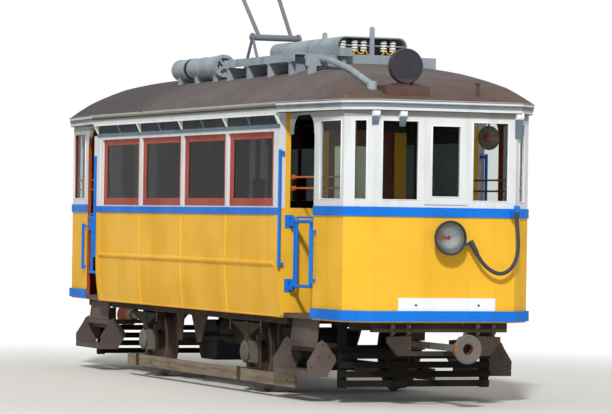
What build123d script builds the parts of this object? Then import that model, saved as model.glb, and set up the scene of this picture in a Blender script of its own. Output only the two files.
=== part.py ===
"""Two-axle electric tram with open-sided platforms, in millimetres.

X runs along the car, Y across it and Z up. The origin is on the ground under the middle of the
car, where the wheel flanges stand. The near side is -Y and the front end is +X. Both ends are
alike, so most pieces are drawn at the front or on the near side and mirrored.
"""
from build123d import *
from math import pi, radians, tan
import os

os.makedirs("parts", exist_ok=True)

# Wheels and axles
flange_depth = 25
tread_radius = 385
flange_radius = tread_radius + flange_depth
axle_height = flange_radius
wheelbase = 3120
back_to_back = 1360
tyre_width = 125
flange_width = 30
rim_depth = 62
web_thickness = 26
hub_radius = 105
hub_inside = 650
hub_outside = 826
axle_radius = 65
journal_radius = 45
journal_end = 930
bearing_clearance = 1.5
axle_stations = (("front", wheelbase / 2), ("rear", -wheelbase / 2))

# Heights above the ground
floor_top = 845
floor_thickness = 48
rub_rail_bottom = 1297
rub_rail_height = 54
belt_bottom = 1800
belt_height = 72
vestibule_belt_height = 90
sash_bottom = 1885
sash_height = 736
header_height = 15
fascia_height = 40
cornice_bottom = 2797
cornice_height = 100
roof_crown = 3330
panel_bottom = floor_top - floor_thickness
belt_top = belt_bottom + belt_height
vestibule_belt_top = belt_bottom + vestibule_belt_height
sash_top = sash_bottom + sash_height
cornice_top = cornice_bottom + cornice_height

# Saloon
saloon_half_length = 2810
saloon_half_width = 1100
wall_thickness = 60
tumblehome = 44
bay_count = 4
bay_pitch = 1338
post_width = 66
sash_recess = 26
sash_thickness = 24
sash_stile = 98
sash_top_rail = 65
sash_bottom_rail = 80
glass_thickness = 6
belt_stand_out = 12
corner_board_width = 110
corner_board_proud = 8
wall_inside = saloon_half_width - wall_thickness
window_width = bay_pitch - post_width
bay_centres = [(i - (bay_count - 1) / 2) * bay_pitch for i in range(bay_count)]

# Vestibule plan, from the door post to the front: length stations with half widths
door_post_x = 3450
door_post_half_width = 997
knee_x = 4107
knee_half_width = 964
front_x = 4303
front_half_width = 740
vestibule_wall = 38
door_post_width = 62

# Vestibule windows: near edge, far edge, sill height, head height
window_sill = 1958
window_head = 2706
front_window_inner = 285
front_window_outer = 655
middle_window_half_width = 148
middle_window_sill = 1992
middle_window_head = 2665

# Roof and cornice
eave_half_width = 1166
eave_knee_x = 4130
eave_knee_half_width = 1012
eave_front_x = 4372
eave_front_half_width = 772
eave_taper_x = 2900
end_rise_run = 2500
corner_rise_run = 1600
side_rise_run = 1150
slope_lift = 20
cornice_steps = ((0, 34, -14), (34, 30, -8), (64, 36, 0))
roof_thickness = 42
roof_reach = 9000

# Underframe
sole_bar_y = 899
sole_bar_width = 96
sole_bar_height = 70
sole_bar_bottom = panel_bottom - sole_bar_height
bearer_height = 92
bearer_bottom = panel_bottom - bearer_height
bumper_height = 99
bumper_bottom = 810
bumper_stand_out = 26

pieces = {}


def bar(x, y, z, mode=Mode.ADD):
    """A box between two values on each axis."""
    with Locations(((x[0] + x[1]) / 2, (y[0] + y[1]) / 2, (z[0] + z[1]) / 2)):
        Box(abs(x[1] - x[0]), abs(y[1] - y[0]), abs(z[1] - z[0]), mode=mode)


def rod(start, end, radius, mode=Mode.ADD):
    """A round bar from one point to another."""
    first, last = Vector(start), Vector(end)
    with Locations(Plane(origin=(first + last) / 2, z_dir=last - first).location):
        Cylinder(radius, (last - first).length, mode=mode)


def mirrored(block, plane):
    """The same piece at the other end, or on the other side."""
    with BuildPart() as copy:
        mirror(block.part, about=plane)
    return copy


def doubled(block, plane):
    """One node that holds a piece and its copy at the other end, or on the other side."""
    with BuildPart() as pair:
        add(block.part)
        mirror(block.part, about=plane)
    return pair


def both_sides(name, block):
    """Keep a piece drawn on the near side, and its copy on the far side."""
    pieces[f"{name}_near"] = block
    pieces[f"{name}_far"] = mirrored(block, Plane.XZ)


def both_ends(name, block):
    """Keep a piece drawn at the front, and its copy at the rear."""
    pieces[f"{name}_front"] = block
    pieces[f"{name}_rear"] = mirrored(block, Plane.YZ)


# Wheelsets: an axle and its two flanged wheels turn as one
for end_name, axle_x in axle_stations:
    with BuildPart() as wheelset:
        with BuildSketch(Plane(origin=(axle_x, 0, axle_height), x_dir=(0, 1, 0), z_dir=(1, 0, 0))):
            Rectangle(2 * hub_inside, axle_radius, align=(Align.CENTER, Align.MIN))
            Rectangle(2 * journal_end, journal_radius, align=(Align.CENTER, Align.MIN))
            inside = back_to_back / 2
            outside = inside + tyre_width
            web_inside = (inside + outside - web_thickness) / 2
            web_outside = web_inside + web_thickness
            rim_inner_radius = tread_radius - rim_depth
            for side in (-1, 1):
                with BuildLine():
                    Polyline(
                        (side * hub_inside, 0),
                        (side * hub_inside, hub_radius),
                        (side * web_inside, hub_radius),
                        (side * web_inside, rim_inner_radius),
                        (side * inside, rim_inner_radius),
                        (side * inside, flange_radius - 10),
                        (side * (inside + 8), flange_radius),
                        (side * (inside + 18), flange_radius),
                        (side * (inside + flange_width), tread_radius),
                        (side * outside, tread_radius - 3),
                        (side * outside, rim_inner_radius),
                        (side * web_outside, rim_inner_radius),
                        (side * web_outside, hub_radius),
                        (side * hub_outside, hub_radius),
                        (side * hub_outside, 0),
                        close=True,
                    )
                make_face()
        revolve(axis=Axis((axle_x, 0, axle_height), (0, 1, 0)))
    pieces[f"wheelset_{end_name}"] = wheelset

# Axle boxes: a box round each journal, with a round cover outside
box_inside = 838
box_outside = 938
box_length = 200
box_height = 220
cover_radius = 92
cover_depth = 22
with BuildPart() as axle_boxes:
    for end_name, axle_x in axle_stations:
        bar(
            (axle_x - box_length / 2, axle_x + box_length / 2),
            (-box_outside, -box_inside),
            (axle_height - box_height / 2, axle_height + box_height / 2),
        )
        rod(
            (axle_x, -box_outside, axle_height),
            (axle_x, -box_outside - cover_depth, axle_height),
            cover_radius,
        )
        rod(
            (axle_x, -journal_end - 2, axle_height),
            (axle_x, -box_inside, axle_height),
            journal_radius + bearing_clearance,
            Mode.SUBTRACT,
        )
pieces["axle_boxes"] = doubled(axle_boxes, Plane.XZ)

# Leaf springs: leaves that shorten downwards, held in a buckle on each axle box
spring_half_length = 450
leaf_count = 8
leaf_thickness = 15
leaf_width = 80
leaf_step = 48
buckle_length = 100
buckle_width = 90
shackle_half_length = 16
shackle_half_width = 22
leaf_stack_top = sole_bar_bottom - 20
with BuildPart() as leaf_springs:
    for end_name, axle_x in axle_stations:
        for leaf in range(leaf_count):
            half = spring_half_length - leaf * leaf_step
            top = leaf_stack_top - leaf * leaf_thickness
            bar(
                (axle_x - half, axle_x + half),
                (-sole_bar_y - leaf_width / 2, -sole_bar_y + leaf_width / 2),
                (top - leaf_thickness, top),
            )
        bar(
            (axle_x - buckle_length / 2, axle_x + buckle_length / 2),
            (-sole_bar_y - buckle_width / 2, -sole_bar_y + buckle_width / 2),
            (axle_height + box_height / 2, leaf_stack_top + 8),
        )
        for tip in (-1, 1):
            tip_x = axle_x + tip * (spring_half_length - 20)
            bar(
                (tip_x - shackle_half_length, tip_x + shackle_half_length),
                (-sole_bar_y - shackle_half_width, -sole_bar_y + shackle_half_width),
                (leaf_stack_top - leaf_thickness / 2, sole_bar_bottom),
            )
pieces["leaf_springs"] = doubled(leaf_springs, Plane.XZ)

# Axle guards: a plate with a slot round each axle box, tied below it, that carries the side guard
guard_gap = 3
guard_leg_width = 58
guard_plate = 16
guard_outside = sole_bar_y - sole_bar_width / 2
guard_inside = guard_outside - guard_plate
guard_bottom = 268
guard_waist = 520
guard_slot_top = 575
guard_wing = 330
tie_height = 30
side_guard_inside = 985
side_guard_thickness = 33
side_guard_bottom = 120
side_guard_height = 124
side_guard_front = 3070
side_guard_rear = -1900
stirrup_half_width = 45
stirrup_thickness = 12
with BuildPart() as axle_guards:
    for end_name, axle_x in axle_stations:
        slot = box_length / 2 + guard_gap
        reach = slot + guard_leg_width
        with BuildSketch(Plane(origin=(axle_x, -guard_inside, 0), x_dir=(1, 0, 0), z_dir=(0, -1, 0))):
            with BuildLine():
                Polyline(
                    (-reach, guard_bottom),
                    (-reach, guard_waist),
                    (-guard_wing, sole_bar_bottom),
                    (-guard_wing, panel_bottom),
                    (guard_wing, panel_bottom),
                    (guard_wing, sole_bar_bottom),
                    (reach, guard_waist),
                    (reach, guard_bottom),
                    (slot, guard_bottom),
                    (slot, guard_slot_top),
                    (-slot, guard_slot_top),
                    (-slot, guard_bottom),
                    close=True,
                )
            make_face()
        extrude(amount=guard_plate)
        bar(
            (axle_x - reach, axle_x + reach),
            (-guard_outside, -guard_inside),
            (guard_bottom - tie_height, guard_bottom),
        )
        bar(
            (axle_x - stirrup_half_width, axle_x + stirrup_half_width),
            (-side_guard_inside, -guard_outside),
            (guard_bottom - tie_height, guard_bottom - tie_height + stirrup_thickness),
        )
        bar(
            (axle_x - stirrup_half_width, axle_x + stirrup_half_width),
            (-side_guard_inside, -side_guard_inside + stirrup_thickness),
            (side_guard_bottom, guard_bottom - tie_height),
        )
pieces["axle_guards"] = doubled(axle_guards, Plane.XZ)

# Side guards: a wooden plank along each side; the far one is turned end for end
with BuildPart() as side_guard:
    bar(
        (side_guard_rear, side_guard_front),
        (-side_guard_inside - side_guard_thickness, -side_guard_inside),
        (side_guard_bottom, side_guard_bottom + side_guard_height),
    )
    chamfer(side_guard.edges().filter_by(Axis.X), 4)
with BuildPart() as side_guards:
    add(side_guard.part)
    add(side_guard.part.rotate(Axis.Z, 180))
pieces["side_guards"] = side_guards

# Sole bars, cross members and platform bearers under the floor
sole_bar_half_length = 2680
cross_member_width = 80
end_member = sole_bar_half_length - 1.5 * cross_member_width
cross_member_stations = (-end_member, -2080, -760, 0, 760, 2080, end_member)
bearer_y = 360
bearer_width = 60
bearer_end = 4240
end_beam_length = 70
end_beam_half_width = 700
coupler_pivot_x = 3700
coupler_height = 570
drawbar_height = 60
drawbar_width = 64
drawbar_eye_radius = 58
pin_radius = 20
pin_clearance = 1
anchor_half_width = 62
anchor_plate = 16
platform_start = end_member + cross_member_width / 2
with BuildPart() as platform_frame:
    for side in (-1, 1):
        bar(
            (platform_start, bearer_end),
            (side * bearer_y - bearer_width / 2, side * bearer_y + bearer_width / 2),
            (bearer_bottom, panel_bottom),
        )
    for station in (coupler_pivot_x, bearer_end - end_beam_length / 2):
        bar(
            (station - end_beam_length / 2, station + end_beam_length / 2),
            (-end_beam_half_width, end_beam_half_width),
            (bearer_bottom, panel_bottom),
        )
    anchor_bottom = coupler_height - drawbar_height / 2 - anchor_plate - 6
    for level in (anchor_bottom, coupler_height + drawbar_height / 2 + 6):
        bar(
            (coupler_pivot_x - 130, coupler_pivot_x + 50),
            (-anchor_half_width, anchor_half_width),
            (level, level + anchor_plate),
        )
    bar(
        (coupler_pivot_x - 130, coupler_pivot_x - 100),
        (-anchor_half_width, anchor_half_width),
        (anchor_bottom, bearer_bottom),
    )
    bar(
        (coupler_pivot_x - 130, coupler_pivot_x + 50),
        (-anchor_half_width, anchor_half_width),
        (coupler_height + drawbar_height / 2 + 6, bearer_bottom),
    )
    rod((coupler_pivot_x, 0, anchor_bottom), (coupler_pivot_x, 0, bearer_bottom), pin_radius)

with BuildPart() as underframe:
    for side in (-1, 1):
        bar(
            (-sole_bar_half_length, sole_bar_half_length),
            (side * sole_bar_y - sole_bar_width / 2, side * sole_bar_y + sole_bar_width / 2),
            (sole_bar_bottom, panel_bottom),
        )
        bar(
            (cross_member_stations[0], cross_member_stations[-1]),
            (side * bearer_y - bearer_width / 2, side * bearer_y + bearer_width / 2),
            (sole_bar_bottom, panel_bottom),
        )
    for station in cross_member_stations:
        bar(
            (station - cross_member_width / 2, station + cross_member_width / 2),
            (-guard_inside, guard_inside),
            (sole_bar_bottom, panel_bottom),
        )
    for station in (cross_member_stations[0], cross_member_stations[-1]):
        bar(
            (station - cross_member_width / 2, station + cross_member_width / 2),
            (-guard_outside, guard_outside),
            (sole_bar_bottom, panel_bottom),
        )
    add(platform_frame.part)
    mirror(platform_frame.part, about=Plane.YZ)
pieces["underframe"] = underframe

# Couplers: a drawbar that swings on its pin, with a round head and a stepped socket in its face
coupler_face_x = 4880
head_radius = 138
head_depth = 46
socket_radius = 50
socket_depth = 150
socket_mouth = 10
seat_radius = 32
seat_depth = 36
neck_radius = 76
neck_length = 190
with BuildPart() as coupler:
    head_back = coupler_face_x - head_depth
    bar(
        (coupler_pivot_x, head_back - neck_length + 10),
        (-drawbar_width / 2, drawbar_width / 2),
        (coupler_height - drawbar_height / 2, coupler_height + drawbar_height / 2),
    )
    with Locations((coupler_pivot_x, 0, coupler_height)):
        Cylinder(drawbar_eye_radius, drawbar_height)
        Cylinder(pin_radius + pin_clearance, drawbar_height, mode=Mode.SUBTRACT)
    with BuildSketch(Plane.XZ):
        with BuildLine():
            Polyline(
                (head_back - neck_length, coupler_height),
                (head_back - neck_length, coupler_height + neck_radius * 0.8),
                (head_back - 60, coupler_height + neck_radius),
                (head_back, coupler_height + head_radius - 18),
                (head_back + 14, coupler_height + head_radius),
                (coupler_face_x - 10, coupler_height + head_radius),
                (coupler_face_x, coupler_height + head_radius - 12),
                (coupler_face_x, coupler_height + socket_radius + socket_mouth),
                (coupler_face_x - socket_mouth, coupler_height + socket_radius),
                (coupler_face_x - socket_depth, coupler_height + socket_radius),
                (coupler_face_x - socket_depth, coupler_height + seat_radius),
                (coupler_face_x - socket_depth - seat_depth, coupler_height + seat_radius),
                (coupler_face_x - socket_depth - seat_depth, coupler_height),
                close=True,
            )
        make_face()
    revolve(axis=Axis((0, 0, coupler_height), (1, 0, 0)))
both_ends("coupler", coupler)

# Coupler guides: a hung frame that carries the drawbar and limits its swing
guide_x = (4290, 4340)
guide_inner = 345
guide_outer = 585
guide_bar_height = 44
guide_bar_top = coupler_height - drawbar_height / 2 - 10
guide_cheek_top = 672
strap_width = 32
strap_offset = 60
with BuildPart() as coupler_guide:
    bar(guide_x, (-guide_inner, guide_inner), (guide_bar_top - guide_bar_height, guide_bar_top))
    for side in (-1, 1):
        with BuildSketch(Plane.YZ.offset(guide_x[0])):
            with BuildLine():
                Polyline(
                    (side * guide_inner, guide_bar_top - guide_bar_height),
                    (side * guide_inner, guide_cheek_top),
                    (side * guide_outer, guide_cheek_top - 6),
                    (side * guide_outer, guide_cheek_top - 60),
                    (side * (guide_outer - 110), guide_bar_top - guide_bar_height),
                    close=True,
                )
            make_face()
        extrude(amount=guide_x[1] - guide_x[0])
        for strap in (guide_inner + strap_width / 2, guide_outer - strap_offset):
            bar(
                (guide_x[0], guide_x[0] + 16),
                (side * strap - strap_width / 2, side * strap + strap_width / 2),
                (guide_cheek_top - 20, panel_bottom),
            )
pieces["coupler_guides"] = doubled(coupler_guide, Plane.YZ)

# Brake shoes hung outside each wheelset, joined by a beam
shoe_gap = 7
shoe_thickness = 46
shoe_width = 78
shoe_half_height = 130
shoe_inside = back_to_back / 2 + flange_width + 12
brake_beam_radius = 24
brake_hanger_width = 30
with BuildPart() as brake_gear:
    axle_x = wheelbase / 2
    shoe_inner = tread_radius + shoe_gap
    shoe_outer = shoe_inner + shoe_thickness
    beam_x = axle_x + shoe_outer + brake_beam_radius / 2
    for side in (-1, 1):
        with BuildSketch(Plane.XZ.offset(-side * shoe_inside)) as shoe_sketch:
            with Locations((axle_x, axle_height)):
                Circle(shoe_outer)
                Circle(shoe_inner, mode=Mode.SUBTRACT)
            with Locations((axle_x + shoe_outer / 2 + 100, axle_height)):
                Rectangle(shoe_outer, 2 * shoe_half_height, mode=Mode.INTERSECT)
        extrude(amount=-side * shoe_width)
        hanger_y = (side * (shoe_inside + 20), side * (shoe_inside + 20 + brake_hanger_width))
        bar((beam_x - 30, beam_x + 30), hanger_y, (axle_height - 40, sole_bar_bottom))
    rod(
        (beam_x, -shoe_inside - shoe_width, axle_height),
        (beam_x, shoe_inside + shoe_width, axle_height),
        brake_beam_radius,
    )

# Traction motors: a plain block beside each axle, hung from a cross member
motor_length = 560
motor_half_width = 330
motor_height = 430
motor_bottom = 205
motor_axle_gap = 30
with BuildPart() as motor:
    motor_end = wheelbase / 2 - axle_radius - motor_axle_gap
    bar(
        (motor_end - motor_length, motor_end),
        (-motor_half_width, motor_half_width),
        (motor_bottom, motor_bottom + motor_height),
    )
    chamfer(motor.edges().filter_by(Axis.Y), 70)
    bar(
        (cross_member_stations[4] - 30, motor_end - motor_length + 20),
        (-90, 90),
        (motor_bottom + motor_height / 2, motor_bottom + motor_height / 2 + 60),
    )
    bar(
        (cross_member_stations[4] - 30, cross_member_stations[4] + 10),
        (-90, 90),
        (motor_bottom + motor_height / 2, sole_bar_bottom),
    )
pieces["motors"] = doubled(motor, Plane.YZ)

# Brake rigging between the axles: hangers below the sole bars, cross shafts, pull rods and a tank
rigging_hangers = ((-515, 115), (75, 235))
hanger_foot_half = 50
hanger_plate = 16
hanger_bottom = 440
cross_shaft_height = 500
cross_shaft_radius = 28
pull_rod_y = 420
pull_rod_height = 290
pull_rod_radius = 13
tank_radius = 150
tank_half_length = 380
tank_height = 560
tank_strap = 20
with BuildPart() as brake_rigging:
    for station, hanger_top_half in rigging_hangers:
        for side in (-1, 1):
            with BuildSketch(Plane.XZ.offset(side * (sole_bar_y + hanger_plate / 2))):
                with BuildLine():
                    Polyline(
                        (station - hanger_top_half, sole_bar_bottom),
                        (station + hanger_top_half, sole_bar_bottom),
                        (station + hanger_foot_half, hanger_bottom),
                        (station - hanger_foot_half, hanger_bottom),
                        close=True,
                    )
                make_face()
            extrude(amount=-side * hanger_plate)
        rod(
            (station, -sole_bar_y, cross_shaft_height),
            (station, sole_bar_y, cross_shaft_height),
            cross_shaft_radius,
        )
    for end, (station, hanger_top_half) in zip((-1, 1), rigging_hangers):
        rod(
            (station, pull_rod_y, pull_rod_height),
            (end * beam_x, pull_rod_y, pull_rod_height),
            pull_rod_radius,
        )
        for lever_x, lever_top in ((station, cross_shaft_height), (end * beam_x, axle_height)):
            bar(
                (lever_x - pull_rod_radius, lever_x + pull_rod_radius),
                (pull_rod_y - pull_rod_radius - 4, pull_rod_y + pull_rod_radius + 4),
                (pull_rod_height - pull_rod_radius - 6, lever_top),
            )
    rod((-tank_half_length, -bearer_y, tank_height), (tank_half_length, -bearer_y, tank_height), tank_radius)
    for strap in (-1, 1):
        strap_x = strap * (tank_half_length - 90)
        bar(
            (strap_x - tank_strap, strap_x + tank_strap),
            (-bearer_y - tank_strap, -bearer_y + tank_strap),
            (tank_height, sole_bar_bottom),
        )
with BuildPart() as all_brakes:
    add(brake_gear.part)
    mirror(brake_gear.part, about=Plane.YZ)
    add(brake_rigging.part)
    add(underframe.part, mode=Mode.SUBTRACT)
pieces["brake_gear"] = all_brakes

# Lifeguards: a slatted board hung across each end behind the coupler
lifeguard_x = (3600, 3650)
lifeguard_half_width = 790
lifeguard_post_width = 78
lifeguard_bottom = 150
slat_height = 62
slat_gap = 28
slat_count = 4
with BuildPart() as lifeguard:
    for side in (-1, 1):
        post = (side * (lifeguard_half_width - lifeguard_post_width), side * lifeguard_half_width)
        bar(lifeguard_x, post, (lifeguard_bottom, panel_bottom))
    for slat in range(slat_count):
        low = lifeguard_bottom + 10 + slat * (slat_height + slat_gap)
        bar(
            (lifeguard_x[1], lifeguard_x[1] + 22),
            (-lifeguard_half_width, lifeguard_half_width),
            (low, low + slat_height),
        )
pieces["lifeguards"] = doubled(lifeguard, Plane.YZ)

# The vestibules' plan: the dash, the belt, the window frame and the floor all follow it
vestibule_corners = [
    (door_post_x, -door_post_half_width),
    (knee_x, -knee_half_width),
    (front_x, -front_half_width),
    (front_x, front_half_width),
    (knee_x, knee_half_width),
    (door_post_x, door_post_half_width),
]


def vestibule_plan(distance):
    """The vestibule's plan from one doorway to the other, moved out from its face by a distance."""
    corners = [Vector(*corner, 0) for corner in vestibule_corners]
    runs = [(last - first).normalized() for first, last in zip(corners, corners[1:])]
    normals = [Vector(run.Y, -run.X, 0) for run in runs]
    normals = [normals[0]] + normals + [normals[-1]]
    moved = []
    for corner, before, after in zip(corners, normals, normals[1:]):
        mitre = (before + after) / (1 + before.dot(after))
        moved.append(corner + mitre * distance)
    return [(point.X, point.Y) for point in moved]


# Floor of the saloon, the platforms and the doorways between them
trap_half_length = 470
trap_width = 170
trap_thickness = 10
trap_y = 745
with BuildPart() as floor:
    with BuildSketch(Plane.XY.offset(panel_bottom)):
        Rectangle(2 * saloon_half_length, 2 * wall_inside)
        for end in (-1, 1):
            platform = [
                (saloon_half_length, -door_post_half_width),
                (door_post_x, -door_post_half_width),
                *vestibule_plan(-vestibule_wall),
                (door_post_x, door_post_half_width),
                (saloon_half_length, door_post_half_width),
            ]
            with BuildLine():
                Polyline(*[(end * x, y) for x, y in platform], close=True)
            make_face()
    extrude(amount=floor_thickness)
    for end in (-1, 1):
        for side in (-1, 1):
            with Locations((end * wheelbase / 2, side * trap_y, floor_top - floor_thickness / 2)):
                Box(2 * trap_half_length, trap_width, floor_thickness, mode=Mode.SUBTRACT)
            with Locations((end * wheelbase / 2, side * trap_y, floor_top + trap_thickness / 2)):
                Box(2 * trap_half_length + 40, trap_width + 40, trap_thickness)
pieces["floor"] = floor

# Saloon side panels: upright to a half-round rub rail, then curving in to the bottom edge. A board
# stands proud at each corner, where the rail ends
rub_rail_depth = 22
panel_half_length = saloon_half_length - corner_board_width


def panel_length(start, end, proud, top):
    """The panel between two stations, moved out by a distance."""
    outside_y = -saloon_half_width - proud
    with BuildSketch(Plane.YZ.offset(start)) as section:
        with BuildLine():
            Line((outside_y, top), (outside_y, rub_rail_bottom))
            TangentArc((outside_y, rub_rail_bottom), (outside_y + tumblehome, panel_bottom), tangent=(0, -1))
            Polyline(
                (outside_y + tumblehome, panel_bottom),
                (-wall_inside, panel_bottom),
                (-wall_inside, top),
                (outside_y, top),
            )
        make_face()
    extrude(section.sketch, amount=end - start)


with BuildPart() as side_panel:
    panel_length(-saloon_half_length, saloon_half_length, 0, belt_top)
    panel_length(-saloon_half_length, -panel_half_length, corner_board_proud, belt_bottom)
    panel_length(panel_half_length, saloon_half_length, corner_board_proud, belt_bottom)
    with BuildSketch(Plane.YZ.offset(-panel_half_length)):
        with BuildLine():
            ThreePointArc(
                (-saloon_half_width, rub_rail_bottom),
                (-saloon_half_width - rub_rail_depth, rub_rail_bottom + rub_rail_height / 2),
                (-saloon_half_width, rub_rail_bottom + rub_rail_height),
            )
            Line((-saloon_half_width, rub_rail_bottom + rub_rail_height), (-saloon_half_width, rub_rail_bottom))
        make_face()
    extrude(amount=2 * panel_half_length)
both_sides("side_panel", side_panel)

# Saloon belts: the painted band under the windows
with BuildPart() as saloon_belt:
    bar(
        (-saloon_half_length, saloon_half_length),
        (-saloon_half_width - belt_stand_out, -saloon_half_width),
        (belt_bottom, belt_top),
    )
    chamfer(saloon_belt.edges().filter_by(Axis.X).group_by(Axis.Y)[0], 4)

# Saloon window frames: posts and header round four openings, with the corner boards on their ends
with BuildPart() as window_frame:
    bar(
        (-saloon_half_length, saloon_half_length),
        (-saloon_half_width, -wall_inside),
        (belt_top, cornice_bottom),
    )
    for centre in bay_centres:
        bar(
            (centre - window_width / 2, centre + window_width / 2),
            (-saloon_half_width, -wall_inside),
            (sash_bottom, sash_top),
            Mode.SUBTRACT,
        )
    for side in (-1, 1):
        bar(
            (side * panel_half_length, side * saloon_half_length),
            (-saloon_half_width - corner_board_proud, -saloon_half_width),
            (belt_top, sash_top),
        )
pieces["window_frames"] = doubled(window_frame, Plane.XZ)

# Sashes: a stained wooden frame in each opening, set back from the posts
sash_outside = saloon_half_width - sash_recess
with BuildPart() as sashes:
    for centre in bay_centres:
        bar(
            (centre - window_width / 2, centre + window_width / 2),
            (-sash_outside, -sash_outside + sash_thickness),
            (sash_bottom, sash_top),
        )
        bar(
            (centre - window_width / 2 + sash_stile, centre + window_width / 2 - sash_stile),
            (-sash_outside, -sash_outside + sash_thickness),
            (sash_bottom + sash_bottom_rail, sash_top - sash_top_rail),
            Mode.SUBTRACT,
        )
pieces["sashes"] = doubled(sashes, Plane.XZ)

pane_outside = sash_outside - (sash_thickness - glass_thickness) / 2
with BuildPart() as saloon_glass:
    for centre in bay_centres:
        bar(
            (centre - window_width / 2 + sash_stile, centre + window_width / 2 - sash_stile),
            (-pane_outside, -pane_outside + glass_thickness),
            (sash_bottom + sash_bottom_rail, sash_top - sash_top_rail),
        )

# Ventilator hoods over the windows: a sloping shelf on brackets, open below
hood_depth = eave_half_width + cornice_steps[0][2] - saloon_half_width
hood_band = 75
hood_band_thickness = 14
hood_shelf = 12
bracket_wide = 40
bracket_narrow = 16
fascia_bottom = sash_top + header_height
fascia_top = fascia_bottom + fascia_height
fascia_stand_out = 8
hood_stations = [(i - bay_count) * bay_pitch / 2 for i in range(2 * bay_count + 1)]
with BuildPart() as vent_hood:
    bar(
        (-saloon_half_length, saloon_half_length),
        (-saloon_half_width - fascia_stand_out, -saloon_half_width),
        (fascia_bottom, fascia_top),
    )
    bar(
        (-saloon_half_length, saloon_half_length),
        (-saloon_half_width - hood_depth, -saloon_half_width),
        (cornice_bottom - hood_shelf, cornice_bottom),
    )
    bar(
        (-saloon_half_length, saloon_half_length),
        (-saloon_half_width - hood_depth, -saloon_half_width - hood_depth + hood_band_thickness),
        (cornice_bottom - hood_band, cornice_bottom),
    )
    for number, station in enumerate(hood_stations):
        width = bracket_wide if number % 2 == 0 else bracket_narrow
        if number in (0, 2 * bay_count):
            station = (1 if number else -1) * (saloon_half_length - bracket_wide / 2)
        with BuildSketch(Plane.YZ.offset(station - width / 2)):
            with BuildLine():
                Polyline(
                    (-saloon_half_width, fascia_bottom),
                    (-saloon_half_width, cornice_bottom),
                    (-saloon_half_width - hood_depth, cornice_bottom),
                    (-saloon_half_width - hood_depth, cornice_bottom - hood_band),
                    (-saloon_half_width - fascia_stand_out, fascia_bottom),
                    close=True,
                )
            make_face()
        extrude(amount=width)
pieces["vent_hoods"] = doubled(vent_hood, Plane.XZ)

# Cornice: three stepped mouldings round the whole roof, over the walls, with corbels at each end
corbel_stations = (-735, -456, 760)
corbel_width = 66
corbel_reach = 44
corbel_height = 58


def all_round(quarter):
    """A plan that is alike on four sides, from its points between the far front corner and the middle."""
    far_rear = [(-x, y) for x, y in reversed(quarter)]
    near_rear = [(-x, -y) for x, y in quarter]
    near_front = [(x, -y) for x, y in reversed(quarter)]
    return quarter + far_rear + near_rear + near_front


def eave_plan(inset):
    """The roof's plan, drawn in by an inset."""
    return all_round(
        [
            (eave_front_x - inset, eave_front_half_width - inset * 0.4),
            (eave_knee_x - inset * 0.4, eave_knee_half_width - inset),
            (eave_taper_x, eave_half_width - inset),
        ]
    )


def wall_plan(inset):
    """The inside of the walls in plan, where the vestibule walls are an inset thick."""
    return all_round(
        [
            (front_x - inset, front_half_width - inset * 0.4),
            (knee_x - inset * 0.4, knee_half_width - inset),
            (door_post_x, door_post_half_width - inset),
            (saloon_half_length, wall_inside),
        ]
    )


with BuildPart() as cornice:
    for low, height, step in cornice_steps:
        with BuildSketch(Plane.XY.offset(cornice_bottom + low)):
            with BuildLine():
                Polyline(*eave_plan(-step), close=True)
            make_face()
        extrude(amount=height)
    with BuildSketch(Plane.XY.offset(cornice_bottom)):
        with BuildLine():
            Polyline(*wall_plan(vestibule_wall), close=True)
        make_face()
    extrude(amount=cornice_height, mode=Mode.SUBTRACT)
    for station in corbel_stations:
        with BuildSketch(Plane.XZ.offset(-station - corbel_width / 2)):
            with BuildLine():
                Polyline(
                    (front_x, cornice_bottom - corbel_height),
                    (front_x, cornice_bottom + cornice_steps[0][1] / 2),
                    (front_x + corbel_reach, cornice_bottom + cornice_steps[0][1] / 2),
                    (front_x + corbel_reach, cornice_bottom - corbel_height / 3),
                    (front_x + corbel_reach / 3, cornice_bottom - corbel_height),
                    close=True,
                )
            make_face()
        corbel = extrude(amount=corbel_width)
        add(corbel.rotate(Axis.Z, 180))
pieces["cornice"] = cornice


# Roof: a boarded shell under canvas, arched across the car and rounded down at each end
def slope(start, end, run, inset):
    """All that lies under a roof slope that rises from one edge of the eave, past the crown."""
    along = Vector(end[0] - start[0], end[1] - start[1], 0).normalized()
    inward = Vector(-along.Y, along.X, 0)
    summit = roof_crown - inset + slope_lift
    origin = Vector(start[0], start[1], 0) + inward * inset - along * roof_reach
    with BuildPart() as under:
        with BuildSketch(Plane(origin=origin, x_dir=inward, z_dir=along)):
            with BuildLine():
                TangentArc((run - inset, summit), (0, cornice_top), tangent=(-1, 0))
                Polyline(
                    (0, cornice_top),
                    (0, cornice_bottom),
                    (roof_reach, cornice_bottom),
                    (roof_reach, summit),
                    (run - inset, summit),
                )
            make_face()
        extrude(amount=2 * roof_reach)
    return under.part


def roof_form(inset):
    """The roof's outside, or its ceiling where an inset is given."""
    plan = eave_plan(0)
    runs = 2 * (corner_rise_run, side_rise_run, None, side_rise_run, corner_rise_run, end_rise_run)
    slopes = [
        slope(plan[number], plan[(number + 1) % len(plan)], run, inset)
        for number, run in enumerate(runs)
        if run
    ]
    half = eave_half_width - inset
    with BuildPart() as form:
        with BuildSketch(Plane.YZ.offset(-eave_front_x)):
            with BuildLine():
                ThreePointArc((-half, cornice_top), (0, roof_crown - inset), (half, cornice_top))
                Line((-half, cornice_top), (half, cornice_top))
            make_face()
        extrude(amount=2 * eave_front_x)
        for side in slopes:
            add(side, mode=Mode.INTERSECT)
    return form.part


outside_form = roof_form(0)
ceiling_form = roof_form(roof_thickness)
with BuildPart() as roof:
    add(outside_form)
    add(ceiling_form, mode=Mode.SUBTRACT)
pieces["roof"] = roof

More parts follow.
